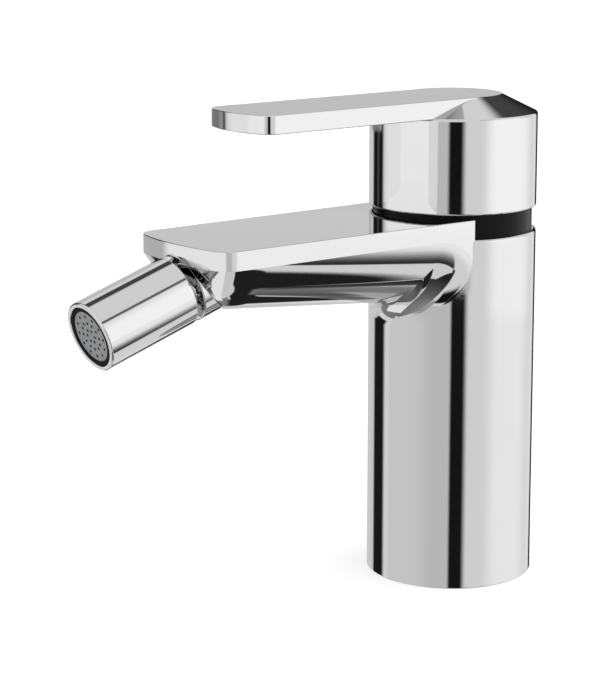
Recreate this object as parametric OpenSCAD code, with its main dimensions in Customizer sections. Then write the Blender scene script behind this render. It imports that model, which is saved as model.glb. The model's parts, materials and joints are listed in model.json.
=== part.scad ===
// Single-lever bidet mixer: round column, flat-topped spout with a lofted belly,
// ceramic cartridge under a tilting cap lever, and a ball-jointed outlet nozzle.
// The column stands on the deck at z = 0 on the Z axis, and the spout runs along -Y.

/* [Column] */
// Diameter of the column and of the handle's cap
column_d = 46; // [44:0.5:56]
// Height of the column's top rim above the deck
column_h = 96.8; // [92:0.2:130]
// Rounding of the column's top outer edge
column_edge_r = 0.9; // [0.3:0.1:1.1]
// Wall of the column round the open space in its foot
foot_wall = 4; // [3.6:0.1:7]
// Depth of the open space in the foot
foot_h = 38; // [25:1:42]
// Width of the groove for the base seal
seal_groove_w = 1.8; // [1.2:0.1:2]
// Thickness of the base seal
seal_t = 1.6; // [1:0.1:2.4]

/* [Water connections] */
// Core diameter of the two hose threads
inlet_d = 9; // [8:0.1:10.5]
// Depth of the hose threads
inlet_depth = 12; // [8:0.5:15]
// Distance between the two hose threads
inlet_pitch = 14; // [13:0.5:16]
// Diameter of the waterways above the hose threads
waterway_d = 5; // [4:0.1:5.6]
// Core diameter of the fixing stud's thread
stud_d = 6.8; // [5:0.1:8.5]
// Depth of the fixing stud's thread
stud_depth = 14; // [8:0.5:18]
// Distance of the fixing stud behind the column's axis
stud_back = 11; // [9:0.5:13]

/* [Spout] */
// Distance from the column's axis to the spout's front edge
spout_reach = 93; // [85:0.5:120]
// Gap between the spout's flat top and the handle's cap
spout_gap = 1.14; // [0.9:0.01:2]
// Height of the spout's upright edge band
spout_band = 4.9; // [3:0.1:6]
// Step from the column's side in to the spout's side, measured at the column's axis
spout_inset = 2.5; // [1.9:0.1:4]
// Narrowing of each side of the spout on the way to its front edge
spout_narrowing = 1.1; // [0:0.1:3]
// Rounding of the spout's front corners, seen from above
spout_corner_r = 5; // [3:0.5:8]
// Radius of the bowed front edge
spout_bow_r = 70; // [50:1:150]
// Depth of the belly's keel below the flat top, measured at the column's axis
keel_depth = 25.7; // [24.5:0.1:28]
// Rise of the keel towards the front
keel_rise = 5.35; // [4:0.05:6]
// Length of the chin, which curves up from the keel to the front edge
chin_len = 15; // [13.5:0.5:20]
// Radius of the hollow blend between belly and column
flare_r = 7; // [4:0.5:9]
// Diameter of the water duct in the spout
duct_d = 8.4; // [6:0.2:9]
// Height of the duct's axis above the keel
duct_rise = 8.6; // [8:0.1:9]

/* [Handle] */
// Height of the dark ring that shows between column and cap
ring_show = 6.4; // [6:0.1:8]
// Height of the cap's straight wall
cap_h = 25.6; // [24:0.1:32]
// Height of the cap's coned top, which is also the lever's thickness
lever_t = 4.9; // [4:0.1:7]
// Width of the lever
lever_w = 26.1; // [20:0.1:32]
// Distance from the column's axis to the lever's front edge
lever_reach = 75.3; // [60:0.1:95]
// Radius of the lever's bowed front edge
lever_bow_r = 30; // [22:1:80]
// Rounding of the lever's front corners
lever_corner_r = 4; // [2:0.5:7]
// Rounding of the cap's edges
cap_edge_r = 0.9; // [0.3:0.1:1.2]
// Wall of the cap's thin skirt, which passes outside the dark ring
skirt_t = 0.8; // [0.6:0.05:0.85]
// Height of the cap's thin skirt
skirt_h = 7.2; // [7:0.1:8.5]
// Wall of the cap above its skirt
cap_wall = 2.6; // [1.8:0.1:4]
// Thickness of the metal between the cap's hollow and its rim
cap_roof = 4.8; // [3:0.1:6]

/* [Cartridge] */
// Step from the column's outside in to the cartridge's sealing land
land_inset = 5.5; // [5:0.1:6]
// Step from the sealing land in to the cartridge's skirt
skirt_inset = 1.5; // [1:0.1:2]
// Wall of the cartridge's skirt
cartridge_wall = 1.4; // [1.2:0.1:1.7]
// Step from the sealing land in to the cartridge's neck
neck_inset = 4; // [3.6:0.1:4.4]
// Depth of the cartridge chamber below the column's top rim
chamber_depth = 32.8; // [32.8:0.1:35]
// Diameter of the stem's pivot pin
pin_d = 3; // [2:0.1:3.6]
// Width of the stem's square
stem_w = 8; // [7:0.1:9]
// Distance from the pivot down to the centre of the stem's finger ball
finger_len = 15; // [14:0.1:15.5]
// Diameter of the stem's finger ball
finger_d = 4.8; // [4:0.1:5.4]
// Diameter of the ceramic discs' inlet ports
port_d = 4; // [3.4:0.1:4.2]
// Width of the moving disc beyond the inlet ports it covers
port_cover = 0.4; // [0.2:0.05:0.8]
// Angle of each inlet port to the spout's direction
port_angle = 45; // [42:1:50]
// Diameter of the ceramic discs' outlet port
outlet_d = 5; // [4:0.1:5.6]

/* [Nozzle] */
// Dip of the nozzle below the horizontal
nozzle_dip = 18; // [14:0.5:20]
// Outside diameter of the nozzle shell
nozzle_d = 18.4; // [17.8:0.1:19]
// Distance from the ball's centre to the nozzle's tip
nozzle_reach = 33; // [31:0.5:45]
// Distance of the ball's centre behind the spout's front edge
ball_back = 6.6; // [6:0.1:7.4]
// Distance of the ball's centre below the spout's flat top
ball_drop = 10.4; // [10.2:0.1:11]
// Diameter of the swivel ball
ball_d = 12.8; // [12:0.1:13.2]
// Distance from the ball's centre to the outlet boss's rim
boss_rim = 4.2; // [3.8:0.1:4.6]
// Gap between the boss's rim and the shell's coned end
swivel_gap = 0.9; // [0.8:0.1:2]
// Height of the shell's coned end
shell_cone_h = 1.4; // [1.2:0.1:2]
// Wall of the shell round the aerator
shell_wall = 1.3; // [1:0.1:1.8]
// Diameter of the perforated disc in the outlet
jet_disc_d = 13.4; // [12:0.1:13.8]
// Diameter of the holes in the perforated disc
jet_hole_d = 0.8; // [0.5:0.05:1]

/* [Hidden] */
$fn = 64;

// Named clearances
press_gap = 0.02;
run_gap = 0.06;
slip_gap = 0.1;
ball_gap = 0.15;
fit_gap = 0.3;
film_gap = 0.05;
overlap = 0.5;

// Column and the stack above it
column_r = column_d / 2;
foot_d = column_d - 2 * foot_wall;
ring_gap = 0.36;
ring_r = column_r - skirt_t - ring_gap;
ring_wall = 1.3;
cap_z = column_h + ring_show;
rim_z = cap_z + cap_h;
lever_hw = lever_w / 2;
spout_top_z = cap_z - spout_gap;
band_z = spout_top_z - spout_band;
seal_mid_r = (column_r + foot_d / 2) / 2;
seal_hw = seal_groove_w / 2 - slip_gap;

// Cartridge stack, from the chamber's floor upwards
cartridge_d = column_d - 2 * land_inset;
cartridge_skirt_d = cartridge_d - 2 * skirt_inset;
cartridge_neck_d = cartridge_d - 2 * neck_inset;
chamber_z = column_h - chamber_depth;
chamber_gap = 0.8;
chamber_r = cartridge_d / 2 + chamber_gap;
neck_wall = 1.4;
neck_out_r = ring_r - ring_wall - slip_gap;
neck_in_r = neck_out_r - neck_wall;
neck_h = 5;
neck_z = column_h + neck_h;
base_h = 5.5;
disc_h = 3.5;
carrier_h = 7;
land_h = 5.5;
shoulder_drop = 1.8;
shoulder_z = column_h - shoulder_drop;
fixed_z = chamber_z + base_h;
moving_z = fixed_z + disc_h + film_gap;
carrier_z = moving_z + disc_h;
skirt_in_r = cartridge_skirt_d / 2 - cartridge_wall;
carrier_headroom = 0.7;
rotor_flange_z = carrier_z + carrier_h + carrier_headroom;
rotor_flange_h = 3.8;
housing_roof_z = rotor_flange_z + rotor_flange_h + fit_gap;
cartridge_neck_wall = 2;
neck_bore_r = cartridge_neck_d / 2 - cartridge_neck_wall;
housing_rise = 1.6;
housing_top_z = neck_z + housing_rise;
rotor_r = neck_bore_r - run_gap;
rotor_sink = 0.4;
rotor_top_z = housing_top_z - rotor_sink;
rotor_slot_hw = 3.65;
rotor_slot_wall = 2.94;
rotor_slot_len = 2 * (rotor_r - rotor_slot_wall);
stem_t = 7;
pivot_rise = 20.45;
pivot_z = carrier_z + pivot_rise;
lift_max = 15;
pivot_ball_z = pivot_z - finger_len;
carrier_r = skirt_in_r - finger_len * sin(lift_max) - fit_gap;
flat_depth = 0.8;
carrier_flat = carrier_r - flat_depth;
lug_w = 3;
lug_len = 8;
port_ring_r = carrier_r - port_d / 2 - port_cover;
port_x = port_ring_r * sin(port_angle);
port_y = port_ring_r * cos(port_angle);
outlet_y = 1;
port_land = 0.5;
mixing_d = 2 * (port_ring_r - port_land) - port_d;
oring_r = 0.85;
oring_drop = 2.5;
oring_z = shoulder_z - oring_drop;
nut_r = neck_in_r - film_gap;
nut_thread_h = 4;
nut_rise = 0.8;
nut_top_z = neck_z + nut_rise;
hex_step = 0.5;
nut_hex_r = nut_r - hex_step;
nut_bore_r = cartridge_neck_d / 2 + fit_gap;
ring_overlap = 0.3;
ring_top_z = cap_z + ring_overlap;
ring_lid_t = ring_top_z - nut_top_z - slip_gap;

// Handle's inside
skirt_in = column_r - skirt_t;
hollow_r = column_r - cap_wall;
hollow_z = rim_z - cap_roof;
stem_top_z = hollow_z;
shank_top = 10;
stem_square_z = pivot_z + shank_top;
hub_wall = 2.8;
hub_r = stem_w / 2 * sqrt(2) + hub_wall;
hub_drop = 12;
hub_z = hollow_z - hub_drop;
screw_z = hub_z + hub_drop / 2;
screw_r = 2.4;
screw_len = 4.4;
plug_r = 3;
plug_len = 2.4;

// Spout
spout_root_w = column_d - 2 * spout_inset;
spout_taper = spout_narrowing / spout_reach;
spout_rear = 10;
rear_gap = 0.2;
spout_rear_r = ring_r + rear_gap;
spout_outline = [spout_root_w / 2, spout_taper, spout_reach, spout_bow_r, spout_corner_r];
lever_outline = [lever_hw, 0, lever_reach, lever_bow_r, lever_corner_r];
chin_v = spout_reach - chin_len;
corner_steps = 6;
bow_steps = 10;
flare_steps = [-0.02, 0.03, 0.11, 0.25, 0.43, 0.68, 1];
belly_steps = [0.2, 0.4, 0.58, 0.72, 0.79, 0.86, 0.92, 0.965, 1];

// Nozzle
ball_v = spout_reach - ball_back;
ball_z = spout_top_z - ball_drop;
ball_r = ball_d / 2;
nozzle_r = nozzle_d / 2;
boss_back = 3;
boss_wall = 1.6;
pocket_r = nozzle_r - boss_wall;
pocket_depth = 6;
pocket_part_r = pocket_r - film_gap;
ring_sink = 0.6;
ring_front = boss_rim - ring_sink;
slip_t = 0.5;
slip_r = ball_r + ball_gap;
seat_r = slip_r + slip_t + ball_gap;
seat_front = 1.5;
seat_bore_r = 4.4;
ball_bore_r = 2.4;
ball_flat = 5;
ball_neck_r = 3.6;
shell_rear = boss_rim + swivel_gap;
shell_neck_len = 2.1;
spigot_r = 5;
spigot_len = 5.8;
aerator_r = nozzle_r - shell_wall;
aerator_len = 11;
aerator_seal_t = 1.5;
aerator_part_r = aerator_r - film_gap;
jet_r = jet_disc_d / 2;
jet_disc_t = 1;
jet_recess = 0.3;
front_recess = 0.15;
aerator_lip_t = 0.8;
aerator_lip_w = 1;
mouth_edge = 0.3;
jet_rings = [[1.64, 6], [3.51, 12], [5.37, 12]];
plate_rings = [[2.2, 6], [4.6, 12]];
plate_hole_d = 1.2;
screen_hole_d = 1;
screen_t = 0.4;
screen_rings = [[1.6, 6], [3.2, 12], [4.8, 18]];

// Plan outlines: [half width at the axis, taper, reach, bow radius, corner radius],
// with the distance along the spout counted forwards from the column's axis.
function side_x(o, v) = o[0] - o[1] * v;
function slope(o) = sqrt(1 + o[1] * o[1]);
function bow_v(o) = o[2] - o[3];
function corner_v(o) =
    let (a = o[0] - o[4] * slope(o), b = a * o[1] + bow_v(o), s = slope(o) * slope(o), q = o[3] - o[4])
    (b + sqrt(b * b - s * (a * a + bow_v(o) * bow_v(o) - q * q))) / s;
function corner_x(o) = side_x(o, corner_v(o)) - o[4] * slope(o);
function side_angle(o) = atan(o[1]);
function bow_angle(o) = atan2(corner_v(o) - bow_v(o), corner_x(o));
function arc_points(x, v, r, a0, a1, steps) =
    [for (i = [0:steps]) let (a = a0 + (a1 - a0) * i / steps) [x + r * cos(a), v + r * sin(a)]];
function right_corner(o) =
    arc_points(corner_x(o), corner_v(o), o[4], side_angle(o), bow_angle(o), corner_steps);
function bow_arc(o) =
    let (b = bow_angle(o), step = (180 - 2 * b) / bow_steps)
    arc_points(0, bow_v(o), o[3], b + step, 180 - b - step, bow_steps - 2);
function mirrored(points) =
    [for (i = [len(points) - 1:-1:0]) [-points[i][0], points[i][1]]];
function front_points(o) = concat(right_corner(o), bow_arc(o), mirrored(right_corner(o)));

// Half width of the outline at a distance along the spout, corners and bow included
function plan_hw(o, v) =
    let (c = corner_v(o), r = o[4])
    let (side_v = c + r * sin(side_angle(o)), bow_end = c + r * sin(bow_angle(o)))
    v <= side_v ? side_x(o, v)
    : v <= bow_end ? corner_x(o) + sqrt(max(0, r * r - (v - c) * (v - c)))
    : sqrt(max(0, o[3] * o[3] - (v - bow_v(o)) * (v - bow_v(o))));

// Belly: keel line, chin arc, round cross-sections and the hollow blend at the column
function keel_line(v) = spout_top_z - keel_depth + v * tan(keel_rise);
function chin_normal() = [-sin(keel_rise), cos(keel_rise)];
function chin_span() = [chin_len, band_z - keel_line(chin_v)];
function chin_radius() = chin_span() * chin_span() / (2 * (chin_span() * chin_normal()));
function chin_centre() = [chin_v, keel_line(chin_v)] + chin_radius() * chin_normal();
function keel_z(v) =
    v <= chin_v ? keel_line(v)
    : let (c = chin_centre(), r = chin_radius()) c[1] - sqrt(max(0, r * r - (v - c[0]) * (v - c[0])));
function belly_drop(u, v) =
    let (w = plan_hw(spout_outline, v), d = band_z - keel_z(v))
    w < 0.01 || d < 0.01 ? 0
    : let (r = (w * w + d * d) / (2 * d)) max(0, sqrt(max(0, r * r - u * u)) - (r - d));
function flare_drop(u, v) =
    let (d = min(flare_r, max(0, norm([u, v]) - column_r)))
    flare_r - sqrt(flare_r * flare_r - (flare_r - d) * (flare_r - d));
function belly_z(u, v) = band_z - belly_drop(u, v) - flare_drop(u, v);

// Distance along the spout at which a grid line, a fixed share of the half width, is this far from the axis
function line_v(share, r) =
    let (w = spout_root_w / 2, k = spout_taper, a = 1 + pow(share * k, 2), b = share * share * w * k)
    (b + sqrt(max(0, b * b - a * (share * share * w * w - r * r)))) / a;

// Distances along one grid line, from inside the column to the front edge
function line_stations(share, v_end) =
    let (last = line_v(share, column_r + flare_r))
    concat(
        [max(spout_rear, line_v(share, spout_rear_r))],
        [for (d = flare_steps) line_v(share, column_r + d * flare_r)],
        [for (g = belly_steps) last + (v_end - last) * g]
    );

// Spout: each point of the front outline sends one line back into the column
module spout() {
    front = front_points(spout_outline);
    lines = len(front);
    grid = [
        for (p = front)
            let (share = p[0] / side_x(spout_outline, p[1]))
            [for (v = line_stations(share, p[1])) [share * side_x(spout_outline, v), v]]
    ];
    rows = len(grid[0]);
    edge = rows - 1;
    under = [for (line = grid) for (q = line) [q[0], -q[1], belly_z(q[0], q[1])]];
    back_top = [for (line = grid) [line[0][0], -line[0][1], spout_top_z]];
    front_top = [for (line = grid) [line[edge][0], -line[edge][1], spout_top_z]];
    b = len(under);
    f = b + lines;
    faces = concat(
        [for (j = [0:lines - 2]) for (i = [0:rows - 2])
            [j * rows + i, (j + 1) * rows + i, (j + 1) * rows + i + 1]],
        [for (j = [0:lines - 2]) for (i = [0:rows - 2])
            [j * rows + i, (j + 1) * rows + i + 1, j * rows + i + 1]],
        [for (j = [0:lines - 2])
            [j * rows + edge, (j + 1) * rows + edge, f + j + 1, f + j]],
        [for (j = [0:lines - 2])
            [(j + 1) * rows, j * rows, b + j, b + j + 1]],
        [concat([b], [for (i = [0:edge]) i], [f])],
        [concat([b + lines - 1, f + lines - 1], [for (i = [edge:-1:0]) (lines - 1) * rows + i])],
        [for (j = [0:lines - 2]) [b + j, f + j, f + j + 1, b + j + 1]]
    );
    polyhedron(concat(under, back_top, front_top), faces, convexity = 6);
}

// Solid of revolution with the rounded outer edge of a plain post
module rounded_post(r, h, edge_r) {
    rotate_extrude() {
        difference() {
            square([r, h]);
            translate([r - edge_r, h - edge_r])
                difference() {
                    square([edge_r + overlap, edge_r + overlap]);
                    circle(edge_r);
                }
        }
    }
}

module tube(r_out, r_in, h) {
    difference() {
        cylinder(r = r_out, h = h);
        translate([0, 0, -overlap]) cylinder(r = r_in, h = h + 2 * overlap);
    }
}

module torus(mid_r, tube_r) {
    rotate_extrude() translate([mid_r, 0]) circle(tube_r);
}

// Nozzle frame: origin at the ball's centre, +Z out of the outlet
module at_ball() {
    translate([0, -ball_v, ball_z]) rotate([90 + nozzle_dip, 0, 0]) children();
}

module hole_rings(rings, d, t) {
    for (ring = rings)
        for (i = [0:ring[1] - 1])
            rotate([0, 0, 360 * i / ring[1]])
                translate([ring[0], 0, -overlap])
                    cylinder(d = d, h = t + 2 * overlap, $fn = 24);
}

module hex_post(r, h) {
    cylinder(r = r, h = h, $fn = 6);
}

// Hot and cold sides, level with the discs' inlet ports
module each_side(x) {
    for (side = [-1, 1])
        translate([side * x, -port_y, 0]) children();
}

module outlet_port(h) {
    translate([0, -outlet_y, -overlap]) cylinder(d = outlet_d, h = h + 2 * overlap);
}

// Water duct, parallel to the keel from the chamber to the ball's pocket
module duct() {
    duct_start = chamber_r - overlap;
    translate([0, -duct_start, keel_line(duct_start) + duct_rise])
        rotate([90 - keel_rise, 0, 0])
            cylinder(d = duct_d, h = (ball_v - pocket_depth - duct_start) / cos(keel_rise));
}

module body() {
    color("gainsboro")
    difference() {
        union() {
            rounded_post(column_r, column_h, column_edge_r);
            cylinder(r = neck_out_r, h = neck_z);
            spout();
            at_ball() translate([0, 0, -boss_back]) cylinder(r = nozzle_r, h = boss_rim + boss_back);
        }
        translate([0, 0, -overlap]) cylinder(d = foot_d, h = foot_h + overlap);
        translate([0, 0, -overlap])
            tube(seal_mid_r + seal_groove_w / 2, seal_mid_r - seal_groove_w / 2, seal_t + overlap);
        each_side(inlet_pitch / 2)
            translate([0, 0, foot_h - overlap]) cylinder(d = inlet_d, h = inlet_depth + overlap);
        each_side(port_x)
            translate([0, 0, foot_h]) cylinder(d = waterway_d, h = chamber_z - foot_h + overlap);
        translate([0, stud_back, foot_h - overlap]) cylinder(d = stud_d, h = stud_depth + overlap);
        translate([0, 0, chamber_z]) cylinder(r = chamber_r, h = chamber_depth + neck_h + overlap);
        translate([0, 0, shoulder_z]) cylinder(r = neck_in_r, h = neck_z - shoulder_z + overlap);
        duct();
        at_ball()
            translate([0, 0, -pocket_depth]) cylinder(r = pocket_r, h = pocket_depth + boss_rim + overlap);
    }
}

module base_seal() {
    color("dimgray") tube(seal_mid_r + seal_hw, seal_mid_r - seal_hw, seal_t);
}

module shroud_ring() {
    color("black") {
        translate([0, 0, column_h]) tube(ring_r, ring_r - ring_wall, ring_top_z - column_h);
        translate([0, 0, ring_top_z - ring_lid_t]) tube(ring_r - overlap, nut_bore_r + fit_gap, ring_lid_t);
    }
}

module cartridge_nut() {
    color("darkgoldenrod")
    difference() {
        union() {
            translate([0, 0, shoulder_z]) cylinder(r = nut_r, h = nut_thread_h);
            translate([0, 0, shoulder_z]) hex_post(nut_hex_r, nut_top_z - shoulder_z);
        }
        translate([0, 0, shoulder_z - overlap])
            cylinder(r = nut_bore_r, h = nut_top_z - shoulder_z + 2 * overlap);
    }
}

module cartridge_housing() {
    color("whitesmoke")
    difference() {
        union() {
            translate([0, 0, fixed_z]) cylinder(d = cartridge_skirt_d, h = shoulder_z - fixed_z);
            translate([0, 0, shoulder_z - land_h]) cylinder(d = cartridge_d, h = land_h);
            translate([0, 0, shoulder_z - overlap])
                cylinder(d = cartridge_neck_d, h = housing_top_z - shoulder_z + overlap);
        }
        translate([0, 0, fixed_z - overlap])
            cylinder(r = skirt_in_r, h = housing_roof_z - fixed_z + overlap);
        translate([0, 0, fixed_z]) cylinder(r = neck_bore_r, h = housing_top_z - fixed_z + overlap);
        translate([0, 0, oring_z - oring_r - slip_gap])
            tube(chamber_r + overlap, chamber_r - 2 * oring_r - slip_gap, 2 * (oring_r + slip_gap));
    }
}

module housing_oring() {
    color("dimgray") translate([0, 0, oring_z]) torus(chamber_r - oring_r - film_gap, oring_r);
}

// Bottom plate of the cartridge: two inlet ports, and an outlet that opens into the chamber at the back
module cartridge_base() {
    window_w = 8;
    window_h = 2.2;
    window_z = fixed_z - 3.2;
    color("whitesmoke")
    difference() {
        translate([0, 0, chamber_z]) cylinder(d = cartridge_skirt_d, h = base_h);
        each_side(port_x)
            translate([0, 0, chamber_z - overlap]) {
                cylinder(d = port_d, h = base_h + 2 * overlap);
                cylinder(d = waterway_d + 2 * seal_t, h = seal_t + overlap);
            }
        translate([-window_w / 2, -outlet_y, window_z]) cube([window_w, cartridge_skirt_d, window_h]);
        translate([0, 0, window_z + overlap]) outlet_port(fixed_z - window_z);
    }
}

module port_seals() {
    color("dimgray")
    each_side(port_x)
        translate([0, 0, chamber_z]) tube(waterway_d / 2 + seal_t - slip_gap, port_d / 2, seal_t);
}

module fixed_disc() {
    color("ivory")
    translate([0, 0, fixed_z])
        difference() {
            cylinder(r = skirt_in_r - fit_gap, h = disc_h);
            each_side(port_x) translate([0, 0, -overlap]) cylinder(d = port_d, h = disc_h + 2 * overlap);
            outlet_port(disc_h);
        }
}

// Upper disc: its mixing hollow reaches an inlet port only when the lever is lifted
module moving_disc() {
    mixing_h = 2;
    color("ivory")
    translate([0, 0, moving_z])
        difference() {
            cylinder(r = carrier_r, h = disc_h);
            translate([0, 0, -overlap]) cylinder(d = mixing_d, h = mixing_h + overlap);
        }
}

// Slide over the moving disc, with flats for the rotor's lugs and a slot for the stem's finger
module disc_carrier() {
    slot_w = finger_d + 2 * slip_gap;
    slot_play = 1;
    slot_floor = 1.5;
    color("lightgray")
    difference() {
        translate([0, 0, carrier_z])
            intersection() {
                cylinder(r = carrier_r, h = carrier_h);
                translate([-carrier_flat, -carrier_r, 0])
                    cube([2 * carrier_flat, 2 * carrier_r, carrier_h]);
            }
        translate([-slot_w / 2 - slot_play, -slot_w / 2, carrier_z + slot_floor])
            cube([slot_w + 2 * slot_play, slot_w, carrier_h]);
    }
}

// Turning sleeve: slotted for the stem, with two lugs that drive the carrier
module rotor() {
    lug_x = carrier_flat + slip_gap;
    color("white")
    difference() {
        union() {
            translate([0, 0, rotor_flange_z]) cylinder(r = skirt_in_r - slip_gap, h = rotor_flange_h);
            translate([0, 0, rotor_flange_z]) cylinder(r = rotor_r, h = rotor_top_z - rotor_flange_z);
            for (side = [-1, 1])
                translate([side * (lug_x + lug_w / 2) - lug_w / 2, -lug_len / 2, carrier_z + overlap])
                    cube([lug_w, lug_len, rotor_flange_z - carrier_z]);
        }
        translate([-rotor_slot_hw, -rotor_slot_len / 2, rotor_flange_z - overlap])
            cube([2 * rotor_slot_hw, rotor_slot_len, rotor_top_z - rotor_flange_z + 2 * overlap]);
        translate([-rotor_r - overlap, 0, pivot_z])
            rotate([0, 90, 0]) cylinder(d = pin_d + 2 * press_gap, h = 2 * (rotor_r + overlap));
    }
}

module pivot_pin() {
    pin_len = 2 * (rotor_r - fit_gap);
    color("silver")
        translate([-pin_len / 2, 0, pivot_z]) rotate([0, 90, 0]) cylinder(d = pin_d, h = pin_len);
}

// Stem: square end for the handle, pivot eye, and a finger with a ball end
module stem() {
    shank_h = 7;
    finger_waist = 0.8;
    color("silver")
    difference() {
        union() {
            translate([-stem_w / 2, -stem_w / 2, stem_square_z])
                cube([stem_w, stem_w, stem_top_z - stem_square_z]);
            translate([-stem_t / 2, -stem_t / 2, pivot_z - shank_h])
                cube([stem_t, stem_t, stem_square_z - pivot_z + shank_h + overlap]);
            translate([0, 0, pivot_ball_z])
                cylinder(d = finger_d - finger_waist, h = finger_len - shank_h + overlap);
            translate([0, 0, pivot_ball_z]) sphere(d = finger_d);
        }
        translate([-stem_w, 0, pivot_z])
            rotate([0, 90, 0]) cylinder(d = pin_d + 2 * run_gap, h = 2 * stem_w);
    }
}

// Plan of the lever: round at the back about the column's axis, bowed at the front
module lever_plan() {
    circle(r = lever_hw);
    polygon([
        for (p = concat([[-lever_hw, 0], [lever_hw, 0]], front_points(lever_outline))) [p[0], -p[1]]
    ]);
}

// Outer form of the cap: straight wall, rounded edges and coned top
module cap_form() {
    rise = atan2(lever_t, column_r - lever_hw);
    tangent = cap_edge_r * tan((90 - rise) / 2);
    translate([0, 0, cap_z])
        rotate_extrude()
            polygon(concat(
                [[0, 0]],
                arc_points(column_r - cap_edge_r, cap_edge_r, cap_edge_r, -90, 0, corner_steps),
                arc_points(column_r - cap_edge_r, cap_h - tangent, cap_edge_r, 0, 90 - rise, corner_steps),
                [[lever_hw, cap_h + lever_t], [0, cap_h + lever_t]]
            ));
}

module handle() {
    color("gainsboro")
    difference() {
        union() {
            difference() {
                union() {
                    cap_form();
                    translate([0, 0, rim_z]) linear_extrude(lever_t) lever_plan();
                }
                translate([0, 0, cap_z - overlap]) cylinder(r = skirt_in, h = skirt_h + overlap);
                translate([0, 0, cap_z]) cylinder(r = hollow_r, h = hollow_z - cap_z);
            }
            translate([0, 0, hub_z]) cylinder(r = hub_r, h = hollow_z - hub_z + overlap);
        }
        translate([-stem_w / 2 - film_gap, -stem_w / 2 - film_gap, hub_z - overlap])
            cube([stem_w + 2 * film_gap, stem_w + 2 * film_gap, stem_top_z + film_gap - hub_z + overlap]);
        translate([0, 0, screw_z]) rotate([-90, 0, 0]) {
            cylinder(r = screw_r + press_gap, h = hub_r + overlap);
            translate([0, 0, hub_r]) cylinder(r = plug_r + press_gap, h = column_r);
        }
    }
}

module set_screw() {
    key_d = 2.5;
    key_depth = 2;
    color("dimgray")
    translate([0, stem_w / 2 + film_gap, screw_z]) rotate([-90, 0, 0])
        difference() {
            cylinder(r = screw_r, h = screw_len);
            translate([0, 0, screw_len - key_depth]) hex_post(key_d / 2, key_depth + overlap);
        }
}

// Plug of the set screw's access hole, domed and flush with the cap
module screw_plug() {
    dome_r = 12;
    color("darkgray")
    intersection() {
        translate([0, hollow_r, screw_z]) rotate([-90, 0, 0]) cylinder(r = plug_r, h = plug_len + overlap);
        translate([0, hollow_r + plug_len - dome_r, screw_z]) sphere(r = dome_r);
    }
}

// Threaded ring in the boss that keeps the ball from leaving forwards
module retaining_ring() {
    ring_rear = 0.3;
    color("silver") at_ball()
    difference() {
        translate([0, 0, ring_rear]) cylinder(r = pocket_part_r, h = ring_front - ring_rear);
        sphere(r = ball_r + ball_gap);
    }
}

// Thin spherical slip ring behind the ball
module friction_ring() {
    slip_near = 2.2;
    slip_far = 4.4;
    color("white") at_ball()
    intersection() {
        difference() {
            sphere(r = slip_r + slip_t);
            sphere(r = slip_r);
        }
        translate([0, 0, -slip_far]) cylinder(r = pocket_r, h = slip_far - slip_near);
    }
}

module ball_seat() {
    color("ivory") at_ball()
    difference() {
        translate([0, 0, -pocket_depth]) cylinder(r = pocket_part_r, h = pocket_depth - seat_front);
        sphere(r = seat_r);
        translate([0, 0, -pocket_depth - overlap]) cylinder(r = seat_bore_r, h = pocket_depth);
    }
}

// Hollow ball with the neck and the spigot that carry the nozzle
module swivel_ball() {
    spigot_z = shell_rear + shell_neck_len;
    color("silver") at_ball()
    difference() {
        union() {
            sphere(r = ball_r);
            cylinder(r = ball_neck_r, h = spigot_z + overlap);
            translate([0, 0, spigot_z]) cylinder(r = spigot_r - press_gap, h = spigot_len);
        }
        translate([0, 0, -ball_r - overlap])
            cylinder(r = ball_bore_r, h = ball_r + spigot_z + spigot_len + 2 * overlap);
        translate([0, 0, -ball_r - overlap]) cylinder(r = ball_r, h = ball_r + overlap - ball_flat);
    }
}

// Chromed tube with a coned rear end, so that it can lean without meeting the boss
module nozzle_shell() {
    bore_z = nozzle_reach - aerator_len;
    mid_bore_r = 6;
    spigot_end = shell_rear + shell_neck_len + spigot_len;
    color("gainsboro") at_ball()
    difference() {
        rotate_extrude()
            polygon([
                [0, shell_rear], [ball_neck_r + fit_gap, shell_rear],
                [nozzle_r, shell_rear + shell_cone_h],
                [nozzle_r, nozzle_reach - mouth_edge], [nozzle_r - mouth_edge, nozzle_reach],
                [0, nozzle_reach]
            ]);
        translate([0, 0, shell_rear - overlap])
            cylinder(r = ball_neck_r + fit_gap, h = shell_neck_len + 2 * overlap);
        translate([0, 0, shell_rear + shell_neck_len]) cylinder(r = spigot_r, h = spigot_len + overlap);
        translate([0, 0, spigot_end]) cylinder(r = mid_bore_r, h = bore_z - spigot_end + overlap);
        translate([0, 0, bore_z]) cylinder(r = aerator_r, h = aerator_len + overlap);
    }
}

module aerator_seal() {
    seal_bore_r = 5.2;
    color("dimgray") at_ball()
        translate([0, 0, nozzle_reach - aerator_len]) tube(aerator_part_r, seal_bore_r, aerator_seal_t);
}

module aerator_housing() {
    housing_z = nozzle_reach - aerator_len + aerator_seal_t;
    color("black") at_ball()
    difference() {
        translate([0, 0, housing_z])
            cylinder(r = aerator_part_r, h = nozzle_reach - front_recess - housing_z);
        translate([0, 0, housing_z + aerator_lip_t]) cylinder(r = jet_r + film_gap, h = aerator_len);
        translate([0, 0, housing_z - overlap])
            cylinder(r = jet_r - aerator_lip_w, h = aerator_lip_t + 2 * overlap);
    }
}

// Plate that rests on the housing's inner lip
module diffuser_plate() {
    plate_t = 1.2;
    color("whitesmoke") at_ball()
        translate([0, 0, nozzle_reach - aerator_len + aerator_seal_t + aerator_lip_t])
            difference() {
                cylinder(r = jet_r, h = plate_t);
                hole_rings(plate_rings, plate_hole_d, plate_t);
            }
}

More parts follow.
